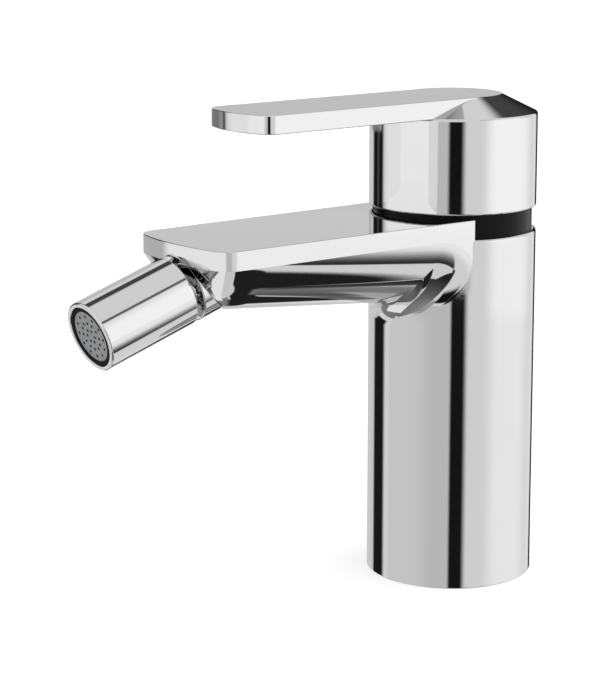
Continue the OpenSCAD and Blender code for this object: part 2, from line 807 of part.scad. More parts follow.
module mesh_screens() {
    screen_pitch = 1.2;
    first = nozzle_reach - jet_recess - jet_disc_t - 3 * screen_pitch;
    color("silver") at_ball()
        for (i = [0:1])
            translate([0, 0, first + i * screen_pitch])
                difference() {
                    cylinder(r = jet_r, h = screen_t);
                    hole_rings(screen_rings, screen_hole_d, screen_t);
                }
}

module jet_disc() {
    color("gray") at_ball()
        translate([0, 0, nozzle_reach - front_recess - jet_recess - jet_disc_t])
            difference() {
                cylinder(r = jet_r, h = jet_disc_t);
                hole_rings(jet_rings, jet_hole_d, jet_disc_t);
            }
}

body();
base_seal();
shroud_ring();
cartridge_nut();
cartridge_housing();
housing_oring();
cartridge_base();
port_seals();
fixed_disc();
retaining_ring();
ball_seat();
rotor();
pivot_pin();
handle();
stem();
set_screw();
screw_plug();
disc_carrier();
moving_disc();
friction_ring();
nozzle_shell();
swivel_ball();
aerator_seal();
aerator_housing();
diffuser_plate();
mesh_screens();
jet_disc();
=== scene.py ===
"""Looks of a single-lever bidet mixer: mirror chrome and dark plastics in a soft white studio.

The visible chrome is rebuilt as smooth skins whose corners carry exact normals, because a mirror
shows every facet. The hidden pieces keep their construction meshes and take a finish.
"""

import json
import logging
import math
from dataclasses import dataclass, field
from enum import Enum, IntEnum
from typing import Sequence

import bpy
import numpy as np
from bpy.types import ID, Material, Node, NodeSocket, NodeTree, Object
from mathutils import Matrix, Vector
from mathutils.geometry import tessellate_polygon


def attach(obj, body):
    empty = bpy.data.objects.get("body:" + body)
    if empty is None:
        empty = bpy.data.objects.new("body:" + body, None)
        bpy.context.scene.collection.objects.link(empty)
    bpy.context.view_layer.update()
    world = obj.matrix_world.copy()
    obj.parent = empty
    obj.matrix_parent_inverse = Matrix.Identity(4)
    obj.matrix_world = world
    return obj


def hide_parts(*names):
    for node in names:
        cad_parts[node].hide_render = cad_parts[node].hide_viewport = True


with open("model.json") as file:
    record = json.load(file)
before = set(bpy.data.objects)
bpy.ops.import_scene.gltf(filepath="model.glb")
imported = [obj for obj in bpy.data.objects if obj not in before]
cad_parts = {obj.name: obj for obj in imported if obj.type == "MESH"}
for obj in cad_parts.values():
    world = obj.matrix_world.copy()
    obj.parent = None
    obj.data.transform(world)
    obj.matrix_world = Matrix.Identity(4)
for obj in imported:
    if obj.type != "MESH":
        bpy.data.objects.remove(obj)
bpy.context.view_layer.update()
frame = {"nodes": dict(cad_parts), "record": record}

log = logging.getLogger("bidet_mixer")
Array = np.ndarray
MM = 0.001
TINY = 1e-9  # Keeps roots and divisors off zero
NO_LENGTH = 1e-12  # Keeps a normal's length off zero
WELD_DIGITS = 4  # Decimals of a millimetre to which a skin's points are welded
SMOOTH_ANGLE = math.radians(30)  # Edges of the hidden pieces that turn more stay sharp


class Steps(IntEnum):
    """Steps round a full turn, finest where a mirror shows them."""

    MIRROR = 288
    TUBE = 224
    RING = 192
    PLAIN = 144
    HOLE = 48
    WATERWAY = 32


# Sizes, in millimetres


@dataclass(frozen=True)
class ColumnSizes:
    """The round column, its open foot, and the neck and chamber inside."""

    r: float = 23.0
    h: float = 96.8
    edge_r: float = 0.9
    foot_r: float = 19.0
    foot_h: float = 38.0
    groove_in: float = 20.1
    groove_out: float = 21.9
    groove_h: float = 1.6
    neck_r: float = 20.44
    neck_top: float = 101.8
    neck_sink: float = 0.5
    thread_r: float = 19.04
    shoulder_z: float = 95.0
    chamber_r: float = 18.3
    chamber_z: float = 64.0
    fine_edge: float = 0.2


@dataclass(frozen=True)
class FootSizes:
    """The holes in the foot's roof: two inlets, the waterway of each, and the stud's hole."""

    inlet_x: float = 7.0
    inlet_y: float = -5.669
    inlet_r: float = 4.5
    inlet_top: float = 50.0
    way_x: float = 5.669
    way_r: float = 2.5
    way_top: float = 62.0
    stud_y: float = 11.0
    stud_r: float = 3.4
    stud_top: float = 52.0


@dataclass(frozen=True)
class RingSizes:
    """The dark ring between the column and the cap, with its inward lid."""

    r: float = 21.84
    in_r: float = 20.54
    low_z: float = 96.82
    top_z: float = 103.5
    lid_z: float = 102.7
    lid_r: float = 14.1
    edge_r: float = 0.2


@dataclass(frozen=True)
class SpoutSizes:
    """The flat-topped spout with its lofted belly."""

    top_z: float = 102.06
    band_z: float = 97.16
    keel_z: float = 76.36
    keel_rise: float = math.radians(5.35)
    chin_v: float = 78.0
    flare_r: float = 7.0
    rear_r: float = 22.04
    rear_v: float = 10.0
    rear_sink: float = 1.0
    rear_steps: int = 60
    edge_r: float = 0.3


@dataclass(frozen=True)
class NozzleSizes:
    """The ball joint, the boss that holds it, the outlet tube and its aerator."""

    ball_v: float = 86.4
    ball_z: float = 91.66
    dip: float = math.radians(18.0)
    r: float = 9.2
    reach: float = 33.0
    front_edge: float = 0.45
    bore_edge: float = 0.2
    boss_back: float = 3.0
    boss_rim: float = 4.2
    pocket_r: float = 7.6
    pocket_back: float = 1.0
    shell_rear: float = 5.1
    shell_cone: float = 1.4
    cone_edge: float = 0.25
    neck_r: float = 3.9
    bore_r: float = 6.0
    bore_z: float = 13.0
    aerator_r: float = 7.9
    aerator_z: float = 22.0
    film: float = 0.05
    housing_r: float = 5.7
    housing_z: float = 23.5
    housing_floor: float = 24.3
    housing_edge: float = 0.15
    front_recess: float = 0.15
    disc_r: float = 6.7
    disc_t: float = 1.0
    disc_recess: float = 0.45
    hole_r: float = 0.4
    first_ring: float = 1.645
    ring_pitch: float = 1.865
    ring_holes: tuple[int, ...] = (6, 12, 12)


@dataclass(frozen=True)
class HandleSizes:
    """The cap and the flat lever; plug_patch is half the turn of the wall's patch, in degrees."""

    cap_z: float = 103.2
    rim_z: float = 128.8
    top_z: float = 133.7
    half_w: float = 13.05
    skirt_r: float = 22.2
    skirt_top: float = 110.4
    skirt_edge: float = 0.15
    hollow_r: float = 20.4
    hollow_z: float = 124.0
    hollow_edge: float = 0.8
    hub_r: float = 8.46
    hub_z: float = 112.0
    hub_edge: float = 0.4
    hub_root: float = 0.6
    rim_edge: float = 0.9
    foot_edge: float = 0.55
    top_edge: float = 0.3
    lever_edge: float = 0.28
    plug_z: float = 118.0
    plug_r: float = 3.02
    plug_depth: float = 2.6
    plug_patch: float = 14.0


COLUMN = ColumnSizes()
NOZZLE = NozzleSizes()
HANDLE = HandleSizes()


# Skins: meshes with exact normals


def link(name: str, data: ID) -> Object:
    """Makes an object at the origin and puts it in the scene.

    Args:
        name: The object's name.
        data: Its mesh, light or camera.

    Returns:
        The object.
    """
    obj = bpy.data.objects.new(name, data)
    bpy.context.scene.collection.objects.link(obj)
    return obj


class Skin:
    """Gathers patches of points and normals into one welded mesh."""

    def __init__(self) -> None:
        """Starts without patches."""
        self.quads: list[Array] = []
        self.normals: list[Array] = []

    def grid(self, points: Array, normals: Array) -> None:
        """Adds a patch.

        Args:
            points: Rows by columns by three, in millimetres.
            normals: One outward normal for each point.
        """
        first, last = slice(None, -1), slice(1, None)
        corners = [(first, first), (last, first), (last, last), (first, last)]
        for patches, values in ((self.quads, points), (self.normals, normals)):
            patches.append(np.stack([values[c] for c in corners], 2).reshape(-1, 4, 3))

    def plate(self, loops: Sequence[Array], z: float, up: bool) -> None:
        """Adds a flat level plate.

        Args:
            loops: The outline, then any holes, as arrays of plan points.
            z: The plate's height.
            up: Whether it faces up.
        """
        flat = np.vstack(loops)
        tris = tessellate_polygon([[Vector((x, y, 0.0)) for x, y in loop] for loop in loops])
        points = np.column_stack([flat, np.full(len(flat), z)])
        corners = np.array([[a, b, c, c] for a, b, c in tris])
        self.quads.append(points[corners])
        self.normals.append(np.tile((0.0, 0.0, 1.0 if up else -1.0), (len(corners), 4, 1)))

    def build(self, name: str) -> Object:
        """Makes the object.

        Args:
            name: The object's name.

        Returns:
            The object, at the origin, with its place in the mesh.
        """
        quads, normals = np.concatenate(self.quads), np.concatenate(self.normals)
        lengths = np.linalg.norm(normals, axis=2, keepdims=True)
        normals = normals / np.maximum(lengths, NO_LENGTH)
        facing = np.cross(quads[:, 2] - quads[:, 0], quads[:, 3] - quads[:, 1])
        wrong = np.einsum("ij,ij->i", facing, normals.mean(1)) < 0
        quads[wrong], normals[wrong] = quads[wrong, ::-1], normals[wrong, ::-1]
        rounded = np.round(quads.reshape(-1, 3), WELD_DIGITS)
        keys, index = np.unique(rounded, axis=0, return_inverse=True)
        faces: list[list[int]] = []
        corners: list[Array] = []
        for face, bent in zip(index.reshape(-1, 4), normals):
            keep = [k for k in range(4) if face[k] != face[k - 1]]
            if len(keep) > 2 and len({int(face[k]) for k in keep}) == len(keep):
                faces.append([int(face[k]) for k in keep])
                corners.extend(bent[k] for k in keep)
        mesh = bpy.data.meshes.new(name)
        mesh.from_pydata((keys * MM).tolist(), [], faces)
        mesh.shade_smooth()
        mesh.normals_split_custom_set([tuple(n) for n in corners])
        return link(name, mesh)


@dataclass(frozen=True)
class Corner:
    """A corner of a lathe profile: radius, height and rounding."""

    r: float
    z: float
    round: float = 0.0


@dataclass(frozen=True)
class Run:
    """One smooth stretch of a profile, with a normal at each point."""

    points: Array
    normals: Array


def profile_runs(corners: Sequence[Corner], steps: int = 8) -> list[Run]:
    """Rounds a profile's corners.

    Args:
        corners: The corners, walked with the solid on the left.
        steps: Points along each rounding.

    Returns:
        The straight and the round stretches in order.
    """
    at = [np.array((c.r, c.z)) for c in corners]
    ways = [(b - a) / np.linalg.norm(b - a) for a, b in zip(at, at[1:])]
    runs: list[Run] = []
    start = at[0]
    for corner, here, into, out in zip(corners[1:], at[1:], ways, ways[1:] + ways[-1:]):
        side = np.array((into[1], -into[0]))
        turn = math.atan2(into[0] * out[1] - into[1] * out[0], float(into @ out))
        cut = corner.round * abs(math.tan(turn / 2))
        end = here - into * cut
        runs.append(Run(np.array((start, end)), np.array((side, side))))
        if cut:
            sign = math.copysign(1.0, turn)
            centre = end - side * sign * corner.round
            angles = np.linspace(0, turn, steps + 1)
            spun = np.stack([side[0] * np.cos(angles) - side[1] * np.sin(angles),
                             side[0] * np.sin(angles) + side[1] * np.cos(angles)], 1)
            runs.append(Run(centre + spun * sign * corner.round, spun))
        start = here + out * cut
    return runs


@dataclass(frozen=True)
class Place:
    """Where a lathe's axis starts, and its three directions."""

    origin: Array
    x: Array
    y: Array
    z: Array

    def points(self, local: Array) -> Array:
        """Takes points from the lathe's own frame to the row frame."""
        return self.origin + self.turn(local)

    def turn(self, local: Array) -> Array:
        """Takes directions from the lathe's own frame to the row frame."""
        return local[..., :1] * self.x + local[..., 1:2] * self.y + local[..., 2:] * self.z


def upright(x: float = 0.0, y: float = 0.0) -> Place:
    """Gives a lathe's place with its axis upwards over a plan place."""
    return Place(np.array((x, y, 0.0)), *np.eye(3))


def ball_place(sizes: NozzleSizes) -> Place:
    """Gives the nozzle's place.

    Args:
        sizes: The nozzle's sizes.

    Returns:
        The place, with its axis out of the outlet from the ball's centre.
    """
    c, s = math.cos(sizes.dip), math.sin(sizes.dip)
    return Place(np.array((0.0, -sizes.ball_v, sizes.ball_z)), np.array((1.0, 0.0, 0.0)),
                 np.array((0.0, -s, c)), np.array((0.0, -c, -s)))


def spin(skin: Skin, runs: Sequence[Run], place: Place, segments: int,
         arc: tuple[float, float] = (0.0, 360.0)) -> None:
    """Turns profile stretches about an axis.

    Args:
        skin: Where the patches go.
        runs: The profile's stretches.
        place: The axis.
        segments: Steps round the arc.
        arc: First and last angle, in degrees.
    """
    angles = np.radians(np.linspace(arc[0], arc[1], segments + 1))
    if arc[1] - arc[0] == 360.0:
        angles[-1] = angles[0]
    c, s = np.cos(angles), np.sin(angles)
    for run in runs:
        points, normals = (
            np.stack([np.outer(a[:, 0], c), np.outer(a[:, 0], s),
                      np.outer(a[:, 1], np.ones_like(c))], 2) for a in (run.points, run.normals))
        skin.grid(place.points(points), place.turn(normals))


def lathe(skin: Skin, corners: Sequence[Corner], place: Place, segments: int) -> None:
    """Turns a whole profile about an axis, as spin does with its stretches."""
    spin(skin, profile_runs(corners), place, segments)


def ring(r: float, x: float, y: float, count: int) -> Array:
    """Gives the points of a circle in plan."""
    a = np.linspace(0, 2 * np.pi, count, endpoint=False)
    return np.stack([x + r * np.cos(a), y + r * np.sin(a)], 1)


# Plan outlines of the spout and the lever


def both_sides(right: Array, middle: Array) -> Array:
    """Joins a rim's right side, its middle and the right side's mirror image."""
    return np.vstack([right, middle, right[::-1] * np.array((-1.0, 1.0))])


@dataclass(frozen=True)
class Outline:
    """A tapered strip with a bowed front and rounded corners, counted forwards from the axis."""

    half_w: float
    taper: float
    reach: float
    bow_r: float
    corner_r: float

    @property
    def bow_v(self) -> float:
        """The bow's centre, counted forwards."""
        return self.reach - self.bow_r

    @property
    def corner(self) -> tuple[float, float]:
        """Finds the rounding that touches the side and the bow.

        Returns:
            The rounding's centre, across and forwards.
        """
        slope = math.sqrt(1 + self.taper**2)
        a = self.half_w - self.corner_r * slope
        b = a * self.taper + self.bow_v
        gap = self.bow_r - self.corner_r
        root = math.sqrt(b * b - slope**2 * (a * a + self.bow_v**2 - gap**2))
        v = (b + root) / slope**2
        return a - self.taper * v, v

    @property
    def angles(self) -> tuple[float, float]:
        """The directions in which the corner meets the side and the bow."""
        x, v = self.corner
        return math.atan(self.taper), math.atan2(v - self.bow_v, x)

    def side(self, v: Array | float) -> Array | float:
        """Gives half the strip's width at a distance forwards, corners left out."""
        return self.half_w - self.taper * v

    def front(self, corner_steps: int, bow_steps: int) -> tuple[Array, Array]:
        """Walks the front from one side to the other.

        Args:
            corner_steps: Steps on each corner.
            bow_steps: Steps on the bow.

        Returns:
            The front's points and their normals.
        """
        first, second = self.angles
        turn = np.linspace(first, second, corner_steps + 1)
        bow = np.linspace(second, math.pi - second, bow_steps + 1)[1:-1]
        unit, bow_unit = (np.stack([np.cos(a), np.sin(a)], 1) for a in (turn, bow))
        right = np.array(self.corner) + self.corner_r * unit
        middle = np.array((0.0, self.bow_v)) + self.bow_r * bow_unit
        return both_sides(right, middle), both_sides(unit, bow_unit)

    def rim(self, back_v: float, side_steps: int = 30, corner_steps: int = 14,
            bow_steps: int = 40) -> tuple[Array, Array]:
        """Walks the sides and the front.

        Args:
            back_v: Where both sides start.
            side_steps: Steps on each side.
            corner_steps: Steps on each corner.
            bow_steps: Steps on the bow.

        Returns:
            The open rim's points and their normals.
        """
        points, normals = self.front(corner_steps, bow_steps)
        v = np.linspace(back_v, points[0, 1], side_steps, endpoint=False)
        side = np.stack([self.side(v), v], 1)
        bent = np.tile(normals[0], (side_steps, 1))
        return both_sides(side, points), both_sides(bent, normals)


SPOUT_PLAN = Outline(half_w=20.5, taper=1.1 / 93.0, reach=93.0, bow_r=70.0, corner_r=5.0)
LEVER_PLAN = Outline(half_w=HANDLE.half_w, taper=0.0, reach=75.3, bow_r=30.0, corner_r=4.0)


def row_frame(plan: Array, z: Array | float) -> Array:
    """Takes places across and forwards, with heights, to points in the row frame."""
    return np.stack([plan[..., 0], -plan[..., 1], np.broadcast_to(z, plan[..., 0].shape)], -1)


def edge_band(skin: Skin, rim: Array, normals: Array, high: float,
              low: Array | float, rounding: float, both: bool = False,
              steps: int = 6) -> None:
    """Adds the upright edge of a plate with rounded arrises.

    Args:
        skin: Where the patches go.
        rim: The plate's rim in plan.
        normals: The rim's normals.
        high: The plate's top.
        low: The band's lower edge at each rim point.
        rounding: Radius of the arrises.
        both: Whether the lower arris is rounded too.
        steps: Points along an arris.
    """
    low = np.broadcast_to(low, len(rim)).astype(float)
    flat = row_frame(normals, 0.0)
    turns = np.linspace(0, math.pi / 2, steps + 1)
    up = np.array((0.0, 0.0, 1.0))

    def arris(z: Array | float, sign: float) -> None:
        """Adds one arris.

        Args:
            z: The plate's height there.
            sign: 1 for the upper arris, -1 for the lower one.
        """
        points = [row_frame(rim - normals * rounding * (1 - math.cos(t)),
                            z - sign * rounding * (1 - math.sin(t))) for t in turns]
        bent = [flat * math.cos(t) + sign * up * math.sin(t) for t in turns]
        skin.grid(np.stack(points), np.stack(bent))

    arris(high, 1.0)
    wall = row_frame(rim, high - rounding), row_frame(rim, low + rounding if both else low)
    skin.grid(np.stack(wall), np.stack([flat, flat]))
    if both:
        arris(low, -1.0)


# The body's lofted belly


@dataclass
class Belly:
    """The spout's underside: round sections on a rising keel, a chin and a hollow flare."""

    spout: SpoutSizes = SpoutSizes()
    plan: Outline = SPOUT_PLAN
    column_r: float = COLUMN.r
    corner_steps: int = 26
    bow_steps: int = 60
    flare_rows: int = 25
    rows: int = 91
    row_ease: float = 1.6
    sink: float = 0.4
    edge_gap: float = 0.03
    least_depth: float = 1e-4
    chin_r: float = field(init=False)
    chin_c: Array = field(init=False)

    def __post_init__(self) -> None:
        """Finds the chin's arc, from the keel's straight line to the band's front."""
        rise = self.spout.keel_rise
        normal = np.array((-math.sin(rise), math.cos(rise)))
        chin_v = self.spout.chin_v
        start = np.array((chin_v, self.spout.keel_z + chin_v * math.tan(rise)))
        span = np.array((self.plan.reach, self.spout.band_z)) - start
        self.chin_r = float(span @ span / (2 * span @ normal))
        self.chin_c = start + self.chin_r * normal

    def width(self, v: Array) -> tuple[Array, Array]:
        """Finds the spout's half width, with its corners and bow.

        Args:
            v: Distances forwards.

        Returns:
            The half widths and their slopes.
        """
        plan = self.plan
        x, c = plan.corner
        side_end, bow_start = (c + plan.corner_r * math.sin(angle) for angle in plan.angles)
        round_w = np.sqrt(np.maximum(plan.corner_r**2 - (v - c) ** 2, TINY))
        bow_w = np.sqrt(np.maximum(plan.bow_r**2 - (v - plan.bow_v) ** 2, TINY))
        on_side, on_corner = v <= side_end, v <= bow_start
        w = np.where(on_side, plan.side(v), np.where(on_corner, x + round_w, bow_w))
        dw = np.where(on_side, -plan.taper,
                      np.where(on_corner, -(v - c) / round_w, -(v - plan.bow_v) / bow_w))
        return w, dw

    def depth(self, v: Array) -> tuple[Array, Array]:
        """Finds how deep the keel lies under the band.

        Args:
            v: Distances forwards.

        Returns:
            The depths and their slopes.
        """
        slope = math.tan(self.spout.keel_rise)
        on_keel = v <= self.spout.chin_v
        ahead = v - self.chin_c[0]
        drop = np.sqrt(np.maximum(self.chin_r**2 - ahead**2, TINY))
        keel = np.where(on_keel, self.spout.keel_z + v * slope, self.chin_c[1] - drop)
        rise = np.where(on_keel, slope, ahead / drop)
        return np.maximum(self.spout.band_z - keel, self.least_depth), -rise

    def section(self, u: Array, v: Array) -> tuple[Array, Array, Array]:
        """Finds the underside before the flare.

        Args:
            u: Distances across.
            v: Distances forwards.

        Returns:
            The heights, and their slopes across and forwards.
        """
        w, dw = self.width(v)
        d, dd = self.depth(v)
        r = (w * w + d * d) / (2 * d)
        dr = w * dw / d + dd - r * dd / d
        root = np.sqrt(np.maximum(r * r - u * u, TINY))
        z = self.spout.band_z - np.maximum(root - (r - d), 0.0)
        return z, u / root, -(r * dr / root - dr + dd)

    def flare(self, u: Array, v: Array) -> Array:
        """Finds the hollow flare to the column.

        Args:
            u: Distances across.
            v: Distances forwards.

        Returns:
            How far the flare falls there.
        """
        r = self.spout.flare_r
        near = np.clip(np.hypot(u, v) - self.column_r, 0.0, r)
        return r - np.sqrt(r**2 - (r - near) ** 2)

    def inside(self, point: Array) -> bool:
        """Tells whether a place is in the spout.

        Args:
            point: The place, in the row frame.

        Returns:
            Whether it lies in the spout.
        """
        u, v, z = np.array(point[0]), np.array(-point[1]), point[2]
        if v >= self.plan.reach or z >= self.spout.top_z or abs(u) >= self.width(v)[0]:
            return False
        return bool(z > self.section(u, v)[0] - self.flare(u, v))

    def along(self, share: Array, r: Array) -> Array:
        """Finds where lines of the underside cross circles about the axis.

        Args:
            share: Each line's part of the half width.
            r: The circles' radii.

        Returns:
            The crossings' distances forwards.
        """
        w, k = self.plan.half_w, self.plan.taper
        a, b = 1 + (share * k) ** 2, share**2 * w * k
        return (b + np.sqrt(np.maximum(b * b - a * (share**2 * w * w - r * r), 0.0))) / a

    def dress(self, skin: Skin) -> None:
        """Adds the flare, a strip that sinks it into the column, and the rest of the underside.

        Args:
            skin: Where the patches go.
        """
        flare_r = self.spout.flare_r
        front, _ = self.plan.front(self.corner_steps, self.bow_steps)
        share = (front[:, 0] / self.plan.side(front[:, 1]))[None, :]
        turns = np.radians(np.linspace(0, 90, self.flare_rows))[:, None]
        c, s = np.cos(turns), np.sin(turns)
        v = self.along(share, self.column_r + flare_r * (1 - c))
        u = share * self.plan.side(v)
        z, zu, zv = self.section(u, v)
        out = np.hypot(u, v)
        bent = np.stack([s * zu + c * u / out, -(s * zv + c * v / out), -s + 0 * u], 2)
        points = row_frame(np.stack([u, v], 2), z - flare_r * (1 - s))
        skin.grid(points, bent)
        level = np.concatenate([bent[:1, :, :2], 0 * bent[:1, :, :1]], 2)
        skin.grid(np.concatenate([points[:1] - level * self.sink, points[:1]]),
                  np.concatenate([bent[:1], bent[:1]]))
        step = np.linspace(0, 1, self.rows)[:, None]
        v = v[-1:] + (front[None, :, 1] - v[-1:]) * (1 - (1 - step) ** self.row_ease)
        u = share * self.plan.side(v)
        z, _, _ = self.section(u, v)
        z[-1] = self.spout.band_z
        near = np.minimum(v, front[None, :, 1] - self.edge_gap)
        _, zu, zv = self.section(share * self.plan.side(near), near)
        skin.grid(row_frame(np.stack([u, v], 2), z), np.stack([zu, -zv, -np.ones_like(zu)], 2))


# Finishes


class Shine(Enum):
    """How a finish is made: how metallic it is, and how far its colour varies."""

    METAL = (1.0, 0.02)
    MOULDED = (0.0, 0.12)


@dataclass(frozen=True)
class Finish:
    """A finish: slot, colour, roughness with its spread, and the unevenness' scale and strength."""

    name: str
    slot: str
    shine: Shine
    colour: tuple[float, float, float]
    rough: float
    rough_spread: float
    grain: float
    bump: float
    specular: float = 0.5


class Value:
    """A shader socket that can be reckoned with like a number."""

    def __init__(self, tree: "Tree", socket: NodeSocket) -> None:
        """Keeps the socket and its tree."""
        self.tree = tree
        self.socket = socket

    def __add__(self, other: "Value | float") -> "Value":
        """Adds, on either side."""
        return self.tree.math("ADD", self, other)

    __radd__ = __add__

    def __sub__(self, other: "Value | float") -> "Value":
        """Takes away."""
        return self.tree.math("SUBTRACT", self, other)

    def __rsub__(self, other: float) -> "Value":
        """Takes this away from a number."""
        return self.tree.math("SUBTRACT", other, self)

    def __mul__(self, other: "Value | float") -> "Value":
        """Multiplies, on either side."""
        return self.tree.math("MULTIPLY", self, other)

    __rmul__ = __mul__

    def __truediv__(self, other: "Value | float") -> "Value":
        """Divides."""
        return self.tree.math("DIVIDE", self, other)

    def step(self, low: float, high: float) -> "Value":
        """Rises smoothly from 0 to 1.

        Args:
            low: Where the rise starts.
            high: Where it ends.

        Returns:
            The rise.
        """
        inputs = {"Value": self, "From Min": low, "From Max": high}
        made = self.tree.node("ShaderNodeMapRange", inputs, interpolation_type="SMOOTHSTEP")
        return Value(self.tree, made.outputs["Result"])

    def window(self, span: tuple[float, float], soft: Sequence[float]) -> "Value":
        """Marks a span with soft edges.

        Args:
            span: The lower and the upper edge.
            soft: How wide each edge's rise is.

        Returns:
            1 inside the span and 0 outside.
        """
        rise, past = (self.step(edge - wide / 2, edge + wide / 2)
                      for edge, wide in zip(span, soft))
        return rise * (1.0 - past)


class Tree:
    """A node tree, with one method that makes every node."""

    def __init__(self, tree: NodeTree) -> None:
        """Clears the tree."""
        self.tree = tree
        tree.nodes.clear()

    def node(self, kind: str,
             inputs: dict[str | int, Value | NodeSocket | float | tuple] | None = None,
             **settings: object) -> Node:
        """Makes a node.

        Args:
            kind: The node's type.
            inputs: Values or links for its sockets.
            **settings: Its own properties.

        Returns:
            The node.
        """
        made = self.tree.nodes.new(kind)
        for name, value in settings.items():
            setattr(made, name, value)
        for name, value in (inputs or {}).items():
            source = value.socket if isinstance(value, Value) else value
            if isinstance(source, NodeSocket):
                self.tree.links.new(source, made.inputs[name])
            else:
                made.inputs[name].default_value = source
        return made

    def math(self, operation: str, *given: Value | float) -> Value:
        """Reckons with sockets and numbers."""
        made = self.node("ShaderNodeMath", dict(enumerate(given)), operation=operation)
        return Value(self, made.outputs[0])

    def split(self, vector: NodeSocket) -> list[Value]:
        """Gives a vector's three parts."""
        made = self.node("ShaderNodeSeparateXYZ", {0: vector})
        return [Value(self, socket) for socket in made.outputs]

    def noise(self, where: NodeSocket, scale: float, detail: float = 3.0) -> Value:
        """Makes noise about one half."""
        made = self.node("ShaderNodeTexNoise", {"Vector": where, "Scale": scale, "Detail": detail})
        return Value(self, made.outputs[0])

    def colour(self, parts: Sequence[Value]) -> NodeSocket:
        """Makes a colour of its three parts."""
        return self.node("ShaderNodeCombineColor", dict(enumerate(parts))).outputs[0]

    def surface(self, kind: str, shader: Node) -> None:
        """Links a shader to an output node of the kind given."""
        self.tree.links.new(shader.outputs[0], self.node(kind).inputs["Surface"])


FINISHES: tuple[Finish, ...] = (
    Finish("chrome", "chrome", Shine.METAL, (0.556, 0.556, 0.558), 0.022, 0.016, 900.0, 0.004),
    Finish("black_plastic", "black_plastic", Shine.MOULDED, (0.002, 0.002, 0.002), 0.3, 0.06,
           2400.0, 0.02, 0.08),
    Finish("matt_black", "black_plastic", Shine.MOULDED, (0.004, 0.004, 0.004), 0.55, 0.1,
           2400.0, 0.03, 0.06),
    Finish("grey_plastic", "grey_plastic", Shine.MOULDED, (0.185, 0.188, 0.192), 0.48, 0.08,
           2400.0, 0.04),
    Finish("white_plastic", "white_plastic", Shine.MOULDED, (0.8, 0.8, 0.78), 0.42, 0.08,
           1800.0, 0.04),
    Finish("rubber", "rubber", Shine.MOULDED, (0.03, 0.03, 0.032), 0.7, 0.1, 1500.0, 0.08),
    Finish("ceramic", "ceramic", Shine.MOULDED, (0.86, 0.85, 0.8), 0.25, 0.06, 2600.0, 0.02),
    Finish("brass", "brass", Shine.METAL, (0.76, 0.6, 0.33), 0.28, 0.1, 700.0, 0.05),
    Finish("steel", "steel", Shine.METAL, (0.62, 0.62, 0.63), 0.25, 0.08, 1200.0, 0.03),
)
BROAD = 24.0  # How much coarser the broad noise is than the grain
BROAD_DETAIL = 2.0
BUMP_DISTANCE = 0.0002


def new_material(name: str) -> tuple[Material, Tree, NodeSocket]:
    """Makes a material with an empty tree.

    Args:
        name: The material's name.

    Returns:
        The material, its tree, and the object's coordinates in it.
    """
    material = bpy.data.materials.new(name)
    material.use_nodes = True
    tree = Tree(material.node_tree)
    return material, tree, tree.node("ShaderNodeTexCoord").outputs["Object"]


def make_finish(finish: Finish) -> Material:
    """Makes a finish's material.

    Args:
        finish: What the surface is like.

    Returns:
        The material.
    """
    material, tree, where = new_material(finish.name)
    metallic, spread = finish.shine.value
    fine = tree.noise(where, finish.grain)
    broad = tree.noise(where, finish.grain / BROAD, BROAD_DETAIL)
    rough = finish.rough + finish.rough_spread * (broad - 0.5)
    rough = rough + 0.5 * finish.rough_spread * (fine - 0.5)
    shade = 1.0 + spread * (broad - 0.5)
    bump = tree.node("ShaderNodeBump", {"Strength": finish.bump, "Distance": BUMP_DISTANCE,
                                        "Height": fine})
    tree.surface("ShaderNodeOutputMaterial", tree.node("ShaderNodeBsdfPrincipled", {
        "Base Color": tree.colour([shade * part for part in finish.colour]), "Roughness": rough,
        "Metallic": metallic, "Specular IOR Level": finish.specular,
        "Normal": bump.outputs["Normal"]}))
    return material


# Sub-assemblies


@dataclass
class Assembly:
    """Pieces that move together, with the finishes they take."""

    body: str
    finishes: dict[str, Material]

    def add(self, obj: Object, finish: str, *nodes: str) -> None:
        """Dresses a piece and ties it to the body.

        Args:
            obj: The piece.
            finish: Its finish, unless it brings its own.
            *nodes: The construction pieces it stands for.
        """
        if not obj.data.materials:
            obj.data.materials.append(self.finishes[finish])
        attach(obj, self.body)
        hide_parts(*nodes)
        log.info("%s rides on %s", obj.name, self.body)


